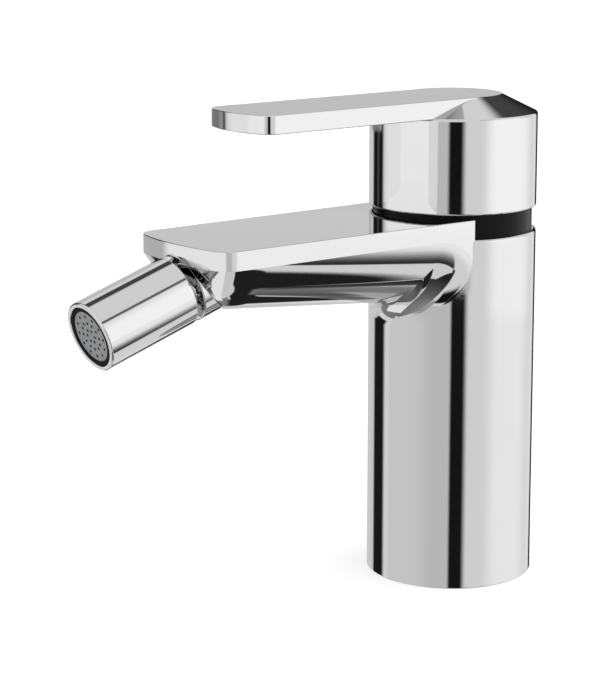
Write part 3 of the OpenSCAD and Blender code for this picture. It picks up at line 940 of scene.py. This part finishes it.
@dataclass
class Body(Assembly):
    """The chromed casting with its raw inside, and the dark ring above it.

    The last fields say how the boss grows out of the spout: its fillet's largest and least size,
    its distance from the rim and its points, and how far from the ball the spout is searched.
    """

    column: ColumnSizes = COLUMN
    foot: FootSizes = FootSizes()
    ring: RingSizes = RingSizes()
    nozzle: NozzleSizes = NOZZLE
    belly: Belly = field(default_factory=Belly)
    fillet: float = 0.35
    fillet_least: float = 0.02
    fillet_clear: float = 0.5
    fillet_points: int = 13
    search: tuple[float, float] = (6.2, -12.0)
    search_steps: int = 59
    halvings: int = 20

    def build(self) -> None:
        """Makes the casting's skins and the ring's."""
        self.add(self.outside(), "chrome", "body")
        self.add(self.inside(), "brass", "body")
        dark, r = Skin(), self.ring
        lathe(dark, [Corner(r.in_r, r.low_z), Corner(r.r, r.low_z), Corner(r.r, r.top_z, r.edge_r),
                     Corner(r.lid_r, r.top_z), Corner(r.lid_r, r.lid_z), Corner(r.in_r, r.lid_z),
                     Corner(r.in_r, r.low_z)], upright(), Steps.RING)
        self.add(dark.build("shroud_ring_skin"), "black_plastic", "shroud_ring")

    def outside(self) -> Object:
        """Makes the chromed outside: column, spout and outlet boss.

        Returns:
            The skin.
        """
        skin, c = Skin(), self.column
        lathe(skin, [
            Corner(c.foot_r, 0.0), Corner(c.groove_in, 0.0), Corner(c.groove_in, c.groove_h),
            Corner(c.groove_out, c.groove_h), Corner(c.groove_out, 0.0),
            Corner(c.r, 0.0, c.fine_edge), Corner(c.r, c.h, c.edge_r), Corner(c.neck_r, c.h),
        ], upright(), Steps.MIRROR)
        self.belly.dress(skin)
        self.top(skin)
        self.boss(skin)
        return skin.build("body_skin")

    def top(self, skin: Skin) -> None:
        """Adds the spout's edge band, its flat top and the hollow rear towards the ring.

        Args:
            skin: Where the patches go.
        """
        s = self.belly.spout
        rim, normals = self.belly.plan.rim(s.rear_v)
        low = s.band_z - self.belly.flare(rim[:, 0], rim[:, 1])
        edge_band(skin, rim, normals, s.top_z, low, s.edge_r)
        rear_end = math.sqrt(s.rear_r**2 - s.rear_v**2)
        x = np.linspace(rear_end, -rear_end, s.rear_steps)
        rear = np.stack([x, np.sqrt(s.rear_r**2 - x**2)], 1)
        loop = np.vstack([rim - normals * s.edge_r, rear[::-1]])
        skin.plate([loop * (1, -1)], s.top_z, True)
        rear = np.vstack([rim[:1], rear, rim[-1:]])
        walls = row_frame(rear, s.top_z), row_frame(rear, self.column.h - s.rear_sink)
        inward = row_frame(-rear, 0.0)
        skin.grid(np.stack(walls), np.stack([inward, inward]))

    def meet(self, angle: float, r: float) -> float:
        """Finds where a line along the nozzle's axis leaves the spout.

        Args:
            angle: The line's direction from the axis.
            r: Its distance from the axis.

        Returns:
            How far out from the ball it leaves the spout.
        """
        far, near = self.search

        def solid(t: float) -> bool:
            """Tells whether the line is in the spout so far out."""
            return self.belly.inside(self.on_boss(angle, r, t))

        hit = next(filter(solid, np.linspace(far, near, self.search_steps + 1)), near)
        outer = hit + (far - near) / self.search_steps
        for _ in range(self.halvings):
            mid = (hit + outer) / 2
            hit, outer = (mid, outer) if solid(mid) else (hit, mid)
        return hit

    def on_boss(self, angle: float, r: float, t: float) -> Array:
        """Takes an angle, a radius and a distance along the nozzle's axis to the row frame."""
        local = np.array((r * math.cos(angle), r * math.sin(angle), t))
        return ball_place(self.nozzle).points(local)

    def boss(self, skin: Skin) -> None:
        """Adds the outlet boss and the small fillet at its root.

        Args:
            skin: Where the patches go.
        """
        n = self.nozzle
        lathe(skin, [
            Corner(n.r, -n.boss_back), Corner(n.r, n.boss_rim, n.front_edge),
            Corner(n.pocket_r, n.boss_rim, n.bore_edge), Corner(n.pocket_r, -n.pocket_back),
        ], ball_place(n), Steps.PLAIN)
        angles = np.linspace(0, 2 * np.pi, Steps.PLAIN + 1)
        angles[-1] = 0.0
        s = np.linspace(0, 1, self.fillet_points)[:, None]
        rows: list[Array] = []
        for angle in angles:
            root = self.meet(angle, n.r)
            room = n.boss_rim - self.fillet_clear - root
            size = min(max(room, self.fillet_least), self.fillet)
            upper = self.on_boss(angle, n.r, root + size)
            lower = self.on_boss(angle, n.r + size, self.meet(angle, n.r + size))
            bend = self.on_boss(angle, n.r, root)
            rows.append((1 - s) ** 2 * upper + 2 * s * (1 - s) * bend + s**2 * lower)
        points = np.stack(rows, 1)
        wrapped = np.concatenate([points[:, -2:-1], points, points[:, 1:2]], 1)
        bent = np.cross(np.gradient(points, axis=0), wrapped[:, 2:] - wrapped[:, :-2])
        outwards = points - ball_place(n).origin
        bent *= np.sign(np.einsum("ijk,ijk->ij", bent, outwards))[..., None]
        skin.grid(points, bent)

    def inside(self) -> Object:
        """Makes the raw inside: foot, neck, cartridge chamber and water connections.

        Returns:
            The skin.
        """
        skin, c, f = Skin(), self.column, self.foot
        lathe(skin, [Corner(c.foot_r, c.foot_h), Corner(c.foot_r, 0.0)], upright(), Steps.PLAIN)
        lathe(skin, [
            Corner(c.neck_r, c.h - c.neck_sink), Corner(c.neck_r, c.neck_top, c.fine_edge),
            Corner(c.thread_r, c.neck_top, c.fine_edge), Corner(c.thread_r, c.shoulder_z),
            Corner(c.chamber_r, c.shoulder_z), Corner(c.chamber_r, c.chamber_z),
            Corner(0.0, c.chamber_z)], upright(), Steps.PLAIN)
        inlets = [ring(f.inlet_r, side * f.inlet_x, f.inlet_y, Steps.HOLE) for side in (-1, 1)]
        stud = ring(f.stud_r, 0.0, f.stud_y, Steps.HOLE)
        roof = [ring(c.foot_r, 0.0, 0.0, Steps.PLAIN), *(hole[::-1] for hole in (*inlets, stud))]
        skin.plate(roof, c.foot_h, False)
        for side, inlet in zip((-1, 1), inlets):
            lathe(skin, [Corner(f.inlet_r, f.inlet_top), Corner(f.inlet_r, c.foot_h)],
                  upright(side * f.inlet_x, f.inlet_y), Steps.HOLE)
            way = ring(f.way_r, side * f.way_x, f.inlet_y, Steps.WATERWAY)
            skin.plate([inlet, way[::-1]], f.inlet_top, False)
            lathe(skin, [Corner(0.0, f.way_top), Corner(f.way_r, f.way_top),
                         Corner(f.way_r, f.inlet_top)],
                  upright(side * f.way_x, f.inlet_y), Steps.WATERWAY)
        lathe(skin, [Corner(0.0, f.stud_top), Corner(f.stud_r, f.stud_top),
                     Corner(f.stud_r, c.foot_h)], upright(0.0, f.stud_y), Steps.HOLE)
        return skin.build("body_inside")


@dataclass
class Lever(Assembly):
    """The cap with its flat lever.

    The last fields are points along a rounding, steps round the back half of the flat top and
    round the plain part of the wall, and the turns and rows of the patch round the plug's hole.
    """

    sizes: HandleSizes = HANDLE
    plan: Outline = LEVER_PLAN
    r: float = COLUMN.r
    edge_steps: int = 12
    top_steps: int = 96
    wall_steps: int = 264
    patch_turns: int = 97
    patch_rows: tuple[float, ...] = (0.0, 0.15, 0.45, 1.0)

    def build(self) -> None:
        """Makes the handle's skin."""
        h = self.sizes
        skin = Skin()
        runs = profile_runs([
            Corner(0.0, h.hub_z), Corner(h.hub_r, h.hub_z, h.hub_edge),
            Corner(h.hub_r, h.hollow_z, h.hub_root), Corner(h.hollow_r, h.hollow_z, h.hollow_edge),
            Corner(h.hollow_r, h.skirt_top), Corner(h.skirt_r, h.skirt_top),
            Corner(h.skirt_r, h.cap_z, h.skirt_edge), Corner(self.r, h.cap_z, h.foot_edge),
            Corner(self.r, h.rim_z, h.rim_edge), Corner(h.half_w, h.top_z, h.top_edge),
            Corner(0.0, h.top_z)], self.edge_steps)
        wall = next(i for i, run in enumerate(runs)
                    if np.allclose(run.points[:, 0], self.r) and run.normals[0, 0] > 0)
        spin(skin, runs[:wall] + runs[wall + 1:-1], upright(), Steps.MIRROR)
        spin(skin, runs[-1:], upright(), self.top_steps, (0.0, 180.0))
        self.wall(skin, runs[wall])
        rim, normals = self.plan.rim(0.0)
        edge_band(skin, rim, normals, h.top_z, h.rim_z, h.lever_edge, both=True)
        plate = (rim - normals * h.lever_edge) * (1, -1)
        skin.plate([plate], h.top_z, True)
        skin.plate([plate], h.rim_z, False)
        self.add(skin.build("handle_skin"), "chrome", "handle")

    def wall(self, skin: Skin, run: Run) -> None:
        """Adds the cap's straight wall, which has the plug's hole at the back.

        Args:
            skin: Where the patches go.
            run: The wall's stretch of the profile.
        """
        h = self.sizes
        spin(skin, [run], upright(), self.wall_steps, (90.0 + h.plug_patch, 450.0 - h.plug_patch))
        low, high = sorted(run.points[:, 1])
        wide = self.r * math.radians(h.plug_patch)
        corners = [math.atan2(z - h.plug_z, s * wide) for s in (-1, 1) for z in (low, high)]
        round_way = np.linspace(-math.pi, math.pi, self.patch_turns)
        turns = np.unique(np.concatenate([round_way, corners]))
        c, s = np.cos(turns), np.sin(turns)
        tall = np.where(s > 0, high - h.plug_z, h.plug_z - low)
        reach = np.minimum(wide / np.maximum(np.abs(c), TINY), tall / np.maximum(np.abs(s), TINY))
        rows = [h.plug_r + (reach - h.plug_r) * share for share in self.patch_rows]
        across = np.stack([r * c for r in rows]) / self.r
        points = np.stack([self.r * np.sin(across), self.r * np.cos(across),
                           h.plug_z + np.stack([r * s for r in rows])], 2)
        skin.grid(points, np.concatenate([points[..., :2], 0 * points[..., :1]], 2))
        hole = np.stack([points[0], points[0] - np.array((0.0, h.plug_depth, 0.0))])
        inward = np.stack([-c, 0 * c, -s], 1)
        skin.grid(hole, np.stack([inward, inward]))


@dataclass
class Nozzle(Assembly):
    """The outlet tube with its aerator; the last fields rule the perforated disc's node group."""

    sizes: NozzleSizes = NOZZLE
    plate_steps: int = 96
    drill_steps: int = 20
    drill_length: float = 3.0
    level_normal: float = 0.5
    rim_share: float = 0.95

    def build(self) -> None:
        """Makes the tube, the dark ring and the perforated disc."""
        n = self.sizes
        place = ball_place(n)
        shell = Skin()
        lathe(shell, [
            Corner(n.neck_r, n.shell_rear), Corner(n.r, n.shell_rear + n.shell_cone, n.cone_edge),
            Corner(n.r, n.reach, n.front_edge), Corner(n.aerator_r, n.reach, n.bore_edge),
            Corner(n.aerator_r, n.aerator_z), Corner(n.bore_r, n.aerator_z),
            Corner(n.bore_r, n.bore_z)], place, Steps.TUBE)
        self.add(shell.build("nozzle_skin"), "chrome", "nozzle_shell")
        housing = Skin()
        front, out_r, in_r = n.reach - n.front_recess, n.aerator_r - n.film, n.disc_r + n.film
        lathe(housing, [
            Corner(n.housing_r, n.housing_z), Corner(out_r, n.housing_z),
            Corner(out_r, front, n.housing_edge), Corner(in_r, front, n.housing_edge),
            Corner(in_r, n.housing_floor), Corner(n.housing_r, n.housing_floor),
            Corner(n.housing_r, n.housing_z)], place, Steps.PLAIN)
        self.add(housing.build("aerator_skin"), "matt_black", "aerator_housing")
        self.add(self.disc(place), "grey_plastic", "jet_disc")

    def drilling(self) -> tuple[NodeTree, dict[str, float | Material]]:
        """Makes the node group that drills rings of holes in a disc, greys it and paints the hole
        walls black as painted shade.

        Returns:
            The group, and what its inputs are set to by socket identifier.
        """
        n = self.sizes
        group = bpy.data.node_groups.new("jet_disc_holes", "GeometryNodeTree")
        tree = Tree(group)
        wanted = {"Disc Radius": n.disc_r * MM, "Disc Thickness": n.disc_t * MM,
                  "Hole Radius": n.hole_r * MM, "Ring Pitch": n.ring_pitch * MM,
                  "First Ring": n.first_ring * MM, "Face Finish": self.finishes["grey_plastic"],
                  "Hole Painted Shade": self.finishes["matt_black"]}
        inputs: dict[str, float | Material] = {}
        for name, value in wanted.items():
            kind = "NodeSocketFloat" if isinstance(value, float) else "NodeSocketMaterial"
            item = group.interface.new_socket(name, in_out="INPUT", socket_type=kind)
            inputs[item.identifier] = value
        group.interface.new_socket("Mesh", in_out="OUTPUT", socket_type="NodeSocketGeometry")
        given = tree.node("NodeGroupInput").outputs
        plate = tree.node("GeometryNodeMeshCylinder", {
            "Vertices": self.plate_steps, "Radius": given["Disc Radius"],
            "Depth": given["Disc Thickness"]})
        drill = tree.node("GeometryNodeMeshCylinder", {
            "Vertices": self.drill_steps, "Radius": given["Hole Radius"],
            "Depth": self.drill_length * MM})
        joined = tree.node("GeometryNodeJoinGeometry")
        for k, count in enumerate(n.ring_holes):
            r = tree.math("MULTIPLY_ADD", Value(tree, given["Ring Pitch"]), float(k),
                          Value(tree, given["First Ring"]))
            circle = tree.node("GeometryNodeMeshCircle", {"Vertices": count, "Radius": r})
            group.links.new(circle.outputs["Mesh"], joined.inputs[0])
        placed = tree.node("GeometryNodeInstanceOnPoints", {"Points": joined.outputs[0],
                                                            "Instance": drill.outputs[0]})
        drills = tree.node("GeometryNodeRealizeInstances", {0: placed.outputs[0]})
        cut = tree.node("GeometryNodeMeshBoolean", {0: plate.outputs[0], 1: drills.outputs[0]},
                        operation="DIFFERENCE")
        whole = tree.node("GeometryNodeRealizeInstances", {0: cut.outputs["Mesh"]})
        faced = tree.node("GeometryNodeSetMaterial", {"Geometry": whole.outputs[0],
                                                      "Material": given["Face Finish"]})
        # Painted shade: the upright hole walls inside the rim take the matt black finish, though
        # the disc is grey throughout
        _, _, rise = tree.split(tree.node("GeometryNodeInputNormal").outputs["Normal"])
        x, y, _ = tree.split(tree.node("GeometryNodeInputPosition").outputs[0])
        level = tree.math("GREATER_THAN", tree.math("ABSOLUTE", rise), self.level_normal)
        in_rim = tree.math("LESS_THAN", tree.math("SQRT", x * x + y * y),
                           Value(tree, given["Disc Radius"]) * self.rim_share)
        painted_hole_shade = tree.node("GeometryNodeSetMaterial", {
            "Geometry": faced.outputs[0], "Selection": (1.0 - level) * in_rim,
            "Material": given["Hole Painted Shade"]})
        group.links.new(painted_hole_shade.outputs[0], tree.node("NodeGroupOutput").inputs[0])
        return group, inputs

    def disc(self, place: Place) -> Object:
        """Makes the perforated disc.

        Args:
            place: The nozzle's frame.

        Returns:
            The disc, as a plain mesh.
        """
        n = self.sizes
        group, inputs = self.drilling()
        seed = link("jet_disc_seed", bpy.data.meshes.new("jet_disc_seed"))
        modifier = seed.modifiers.new("holes", "NODES")
        modifier.node_group = group
        for identifier, value in inputs.items():
            modifier[identifier] = value
        bpy.context.view_layer.update()
        evaluated = seed.evaluated_get(bpy.context.evaluated_depsgraph_get())
        mesh = bpy.data.meshes.new_from_object(evaluated)
        seed.modifiers.remove(modifier)
        bpy.data.objects.remove(seed)
        middle = n.reach - n.disc_recess - n.disc_t / 2
        at = place.points(np.array((0.0, 0.0, middle))) * MM
        turn = Matrix((place.x, place.y, place.z)).transposed().to_4x4()
        mesh.transform(Matrix.Translation(Vector(at)) @ turn)
        mesh.name = "jet_disc_skin"
        return link("jet_disc_skin", mesh)


# Studio


@dataclass(frozen=True)
class Way:
    """A mirrored direction: turn and rise in degrees, and where it meets the tent's floor."""

    turn: Value
    rise: Value
    ahead: Value
    aside: Value


@dataclass(frozen=True)
class WallCard:
    """A soft-edged panel of the tent, in degrees.

    The turn is counted from the camera's side to the camera's right, the rise upwards from level.
    The edges' softness is given left, right, below and above.
    """

    turn: tuple[float, float]
    rise: tuple[float, float]
    soft: tuple[float, float, float, float]
    level: float

    def share(self, way: Way) -> Value:
        """Finds how much of the panel is seen.

        Args:
            way: The mirrored direction.

        Returns:
            The panel's share there.
        """
        middle, half = sum(self.turn) / 2, (self.turn[1] - self.turn[0]) / 2
        off = way.turn.tree.math("WRAP", way.turn - middle, 180.0, -180.0)
        across = off.window((-half, half), self.soft[:2])
        return across * way.rise.window(self.rise, self.soft[2:])


FLOOR_END = (-16.0, -12.0)  # The rise, in degrees, over which the tent's floor ends
ALL_SLANTS = (-9.0, 9.0)


@dataclass(frozen=True)
class FloorCard:
    """A soft-edged patch of the tent's floor, in heights of the object above that floor.

    It runs ahead to the camera and aside to the camera's right; the slant is aside less ahead.
    The edges' softness is given near, far, left and right, and the slant's once.
    """

    ahead: tuple[float, float]
    aside: tuple[float, float]
    soft: tuple[float, float, float, float]
    level: float
    slant: tuple[float, float] = ALL_SLANTS
    slant_soft: float = 0.04

    def share(self, way: Way) -> Value:
        """Finds how much of the patch is seen.

        Args:
            way: The mirrored direction.

        Returns:
            The patch's share there.
        """
        ahead = way.ahead.window(self.ahead, self.soft[:2])
        aside = way.aside.window(self.aside, self.soft[2:])
        slant = (way.aside - way.ahead).window(self.slant, (self.slant_soft, self.slant_soft))
        return ahead * aside * slant * (1.0 - way.rise.step(*FLOOR_END))


TENT_LEVEL = 1.09
CARDS: tuple[WallCard | FloorCard, ...] = (
    # Left wall, grey below and bright above
    WallCard((-112, -46), (-62, -8), (4, 44, 6, 2), 0.98),
    WallCard((-46, -6), (-60, 4), (44, 4, 10, 4), 0.83),
    WallCard((-112, -98), (-62, -8), (4, 2, 6, 2), 1.1),
    WallCard((-107, -25), (-9.1, 11), (12, 3, 0.6, 4), 1.3),
    WallCard((-80, -37), (-9.1, 11), (4, 3, 0.6, 4), 1.43),
    WallCard((-37, -25), (-9.1, 11), (3, 3, 0.6, 4), 1.19),
    WallCard((-107, -25), (7.6, 10.2), (12, 3, 0.6, 0.6), 1.85),
    # Right wall, brightest at its middle
    WallCard((53, 118), (-23, 2), (30, 36, 10, 8), 1.4),
    WallCard((53, 118), (-12, -4), (30, 36, 0.6, 8), 1.5),
    WallCard((47, 106), (-9.7, 38), (30, 26, 1, 36), 1.57),
    # Back wall
    WallCard((158, 204), (2, 28), (10, 10, 6, 24), 0.64),
    WallCard((158, 204), (9.2, 28), (10, 10, 0.8, 24), 0.76),
    # Floor towards the camera, darker to the right, with a bright reveal before its dark skirting
    FloorCard((0, 0.66), (-0.95, 1.2), (0.02, 0.06, 0.24, 0.04), 0.3, (-1.03, 9), 0.1),
    FloorCard((0.5, 0.95), (-0.6, 0.12), (0.9, 0.08, 0.1, 0.1), 0.48, (-1.4, 9), 0.1),
    FloorCard((0, 0.66), (0.3, 1.2), (0.02, 0.06, 1.1, 0.04), 0.025),
    FloorCard((-0.02, 0.58), (0.665, 1.22), (0.02, 0.06, 0.05, 0.04), 1.05, (0.47, 9)),
    FloorCard((-0.12, 0.6), (1.2, 1.75), (0.12, 0.06, 0.05, 1), 0.05),
    # Floor behind: dark table with a soft streak
    FloorCard((-1.15, 0), (0, 1.05), (0.15, 0.02, 0.04, 0.05), 0.022, (-9, 0.99), 0.06),
    FloorCard((-1.15, -0.55), (-0.1, 0.34), (0.15, 0.1, 0.04, 0.05), 0.022),
    WallCard((128, 146), (-62, -56), (6, 6, 3, 3), 0.26),
    WallCard((-176, -96), (-95, -38), (6, 6, 3, 4), 0.31),
    WallCard((-104, -82), (-90, -48.5), (3, 5, 3, 3), 0.24),
    # Lit patches under the spout
    FloorCard((-0.62, 0.03), (-0.14, 0.5), (0.04, 0.02, 0.04, 0.02), 0.97, (-9, 0.425), 0.03),
    FloorCard((-0.68, 0.03), (-0.6, -0.14), (0.05, 0.02, 0.05, 0.06), 1.3),
    # Far left, paler towards the back
    WallCard((-182, -139), (-38, 0), (6, 6, 4, 3), 0.86),
    WallCard((-186, -160), (-38, 0), (6, 8, 4, 3), 0.72),
    # Dark flags on the left, towards the camera and at the far right
    WallCard((-143.8, -114.1), (-9.7, 60), (8, 8, 0.6, 20), 0.013),
    WallCard((-130, -124.6), (-9.7, 60), (3, 3, 0.6, 20), 0.085),
    WallCard((-136.8, -109.1), (-26, -9.7), (8, 8, 3, 0.6), 0.016),
    WallCard((-150, -119), (-7, -3), (14, 6, 0.1, 3), 0.29),
    WallCard((-127, -119), (-7, -3), (5, 5, 0.1, 3), 0.44),
    WallCard((-9.7, 11), (-9.7, 8), (6, 9.5, 0.6, 8), 0.012),
    WallCard((-4.7, 16.7), (-26, -9.7), (6, 9.5, 4, 0.6), 0.013),
    WallCard((1, 29), (-48, -25), (4, 13, 4, 4), 0.01),
    WallCard((148, 170), (-6, 47.6), (8, 3, 4, 9), 0.085),
    WallCard((151, 170), (-39.5, 20), (8, 3, 3, 30), 0.015),
    # Ceiling panel and joints
    WallCard((168.5, 200), (54, 64), (0.8, 6, 3, 3), 0.6),
    WallCard((178, 200), (54, 64), (18, 6, 3, 3), 0.2),
    WallCard((-175, -148), (47.5, 66), (4, 4, 3, 8), 0.09),
    WallCard((40, 68), (43.5, 50.5), (6, 6, 4, 4), 0.18),
    # Light strip at the height of the spout's edge
    WallCard((-150, -9), (-11.35, -9.75), (6, 16, 0.3, 0.2), 1.36),
    WallCard((-9, 22), (-11.35, -9.75), (16, 8, 0.3, 0.2), 0.8),
    WallCard((-150, -114), (-11.35, -9.75), (6, 8, 0.3, 0.2), 0.7),
)


@dataclass(frozen=True)
class Studio:
    """A white light tent with dark and bright cards, a pale floor, a lamp and the camera.

    The tent and the floor are in millimetres, the camera and the lamp in metres.
    """

    tent_r: float = 40000.0
    tent_steps: tuple[int, int] = (73, 37)
    least_drop: float = 0.02
    floor_half: float = 12000.0
    floor_z: float = -0.05
    floor_shade: float = 0.8
    floor_spread: float = 0.01
    floor_grain: float = 40.0
    floor_rough: float = 0.9
    floor_glow: float = 0.34
    lamp_at: tuple[float, float, float] = (0.0, -0.05, 1.6)
    lamp_size: float = 1.6
    lamp_power: float = 6.0
    camera_at: tuple[float, float, float] = (0.43535, -0.38816, 0.19655)
    heading: float = math.radians(142.406)
    tilt: float = math.radians(10.116)
    lens: float = 112.203
    sensor: float = 36.0
    shift: float = -0.15
    clip: tuple[float, float] = (0.01, 50.0)

    def build(self) -> None:
        """Makes the world, the tent, the floor, the lamp and the camera."""
        scene = bpy.context.scene
        scene.view_settings.view_transform = "Standard"
        scene.world = bpy.data.worlds.new("studio")
        scene.world.use_nodes = True
        tree = Tree(scene.world.node_tree)
        tree.surface("ShaderNodeOutputWorld", tree.node("ShaderNodeBackground", {
            "Color": (1.0, 1.0, 1.0, 1.0), "Strength": 1.0}))
        self.tent()
        self.floor()
        self.lamp()
        self.camera()

    def tent(self) -> None:
        """Makes the tent that the chrome mirrors."""
        columns, rows = self.tent_steps
        round_way, up = np.linspace(0, 360, columns), np.linspace(-90, 90, rows)
        a, b = np.radians(np.meshgrid(round_way, up))
        ball = np.stack([np.cos(b) * np.cos(a), np.cos(b) * np.sin(a), np.sin(b)], 2)
        skin = Skin()
        skin.grid(ball * self.tent_r, -ball)
        tent = skin.build("light_tent")
        material, tree, where = new_material("light_tent")
        unit = tree.node("ShaderNodeVectorMath", {0: where}, operation="NORMALIZE").outputs[0]
        x, y, z = tree.split(unit)
        c, s = -math.cos(self.heading), -math.sin(self.heading)
        ahead, aside = x * c + y * s, x * -s + y * c
        drop = tree.math("MAXIMUM", z * -1.0, self.least_drop)
        turn, rise = tree.math("ARCTAN2", aside, ahead), tree.math("ARCSINE", z)
        degree = math.pi / 180
        way = Way(turn / degree, rise / degree, ahead / drop, aside / drop)
        glow: Value | float = TENT_LEVEL
        for card in CARDS:
            glow = glow + card.share(way) * (card.level - glow)
        self.glow(tent, material, tree, {
            "Base Color": (0.0, 0.0, 0.0, 1.0), "Roughness": 1.0,
            "Emission Color": tree.colour([glow] * 3), "Emission Strength": 1.0})
        tent.visible_camera = False
        tent.visible_shadow = False

    def floor(self) -> None:
        """Makes the pale floor, which the chrome doesn't mirror."""
        skin = Skin()
        corners = np.array(((-1.0, -1.0), (1.0, -1.0), (1.0, 1.0), (-1.0, 1.0)))
        skin.plate([corners * self.floor_half], self.floor_z, True)
        floor = skin.build("floor")
        material, tree, where = new_material("floor")
        shade = self.floor_shade + self.floor_spread * (tree.noise(where, self.floor_grain) - 0.5)
        self.glow(floor, material, tree, {
            "Base Color": tree.colour([shade] * 3), "Roughness": self.floor_rough,
            "Emission Color": (1.0, 1.0, 1.0, 1.0), "Emission Strength": self.floor_glow})
        floor.visible_glossy = False

    def glow(self, obj: Object, material: Material, tree: Tree,
             inputs: dict[str, NodeSocket | float | tuple]) -> None:
        """Dresses the tent or the floor with a dull surface that shines.

        Args:
            obj: What is dressed.
            material: Its material.
            tree: The material's tree.
            inputs: What the shader is given.
        """
        tree.surface("ShaderNodeOutputMaterial", tree.node(
            "ShaderNodeBsdfPrincipled", {**inputs, "Specular IOR Level": 0.0}))
        material.cycles.emission_sampling = "NONE"
        obj.data.materials.append(material)

    def lamp(self) -> None:
        """Makes the soft light overhead."""
        data = bpy.data.lights.new("overhead", "AREA")
        data.energy = self.lamp_power
        data.size = self.lamp_size
        lamp = link("overhead", data)
        lamp.location = self.lamp_at
        lamp.visible_glossy = False

    def camera(self) -> None:
        """Makes the camera at the photograph's angle."""
        data = bpy.data.cameras.new("camera")
        data.lens = self.lens
        data.sensor_width = self.sensor
        data.shift_y = self.shift
        data.clip_start, data.clip_end = self.clip
        camera = link("camera", data)
        camera.location = self.camera_at
        level = math.cos(self.tilt)
        ahead = Vector((math.cos(self.heading) * level, math.sin(self.heading) * level,
                        -math.sin(self.tilt)))
        camera.rotation_euler = ahead.to_track_quat("-Z", "Y").to_euler()
        bpy.context.scene.camera = camera


def dress_hidden(finishes: dict[str, Material]) -> None:
    """Gives the construction pieces that stay their finish.

    Args:
        finishes: Materials by slot.
    """
    slots = {row["node"]: row["material_slot"] for row in frame["record"]["subparts"]}
    for name, node in frame["nodes"].items():
        node.data.materials.clear()
        node.data.materials.append(finishes[slots[name]])
        node.data.set_sharp_from_angle(angle=SMOOTH_ANGLE)


def main() -> None:
    """Builds the sub-assemblies and the studio in order."""
    logging.basicConfig(level=logging.INFO)
    finishes = {finish.name: make_finish(finish) for finish in FINISHES}
    dress_hidden(finishes)
    for part in (Body("mixer", finishes), Lever("lever", finishes), Nozzle("nozzle", finishes),
                 Studio()):
        part.build()


if __name__ == "__main__":
    main()
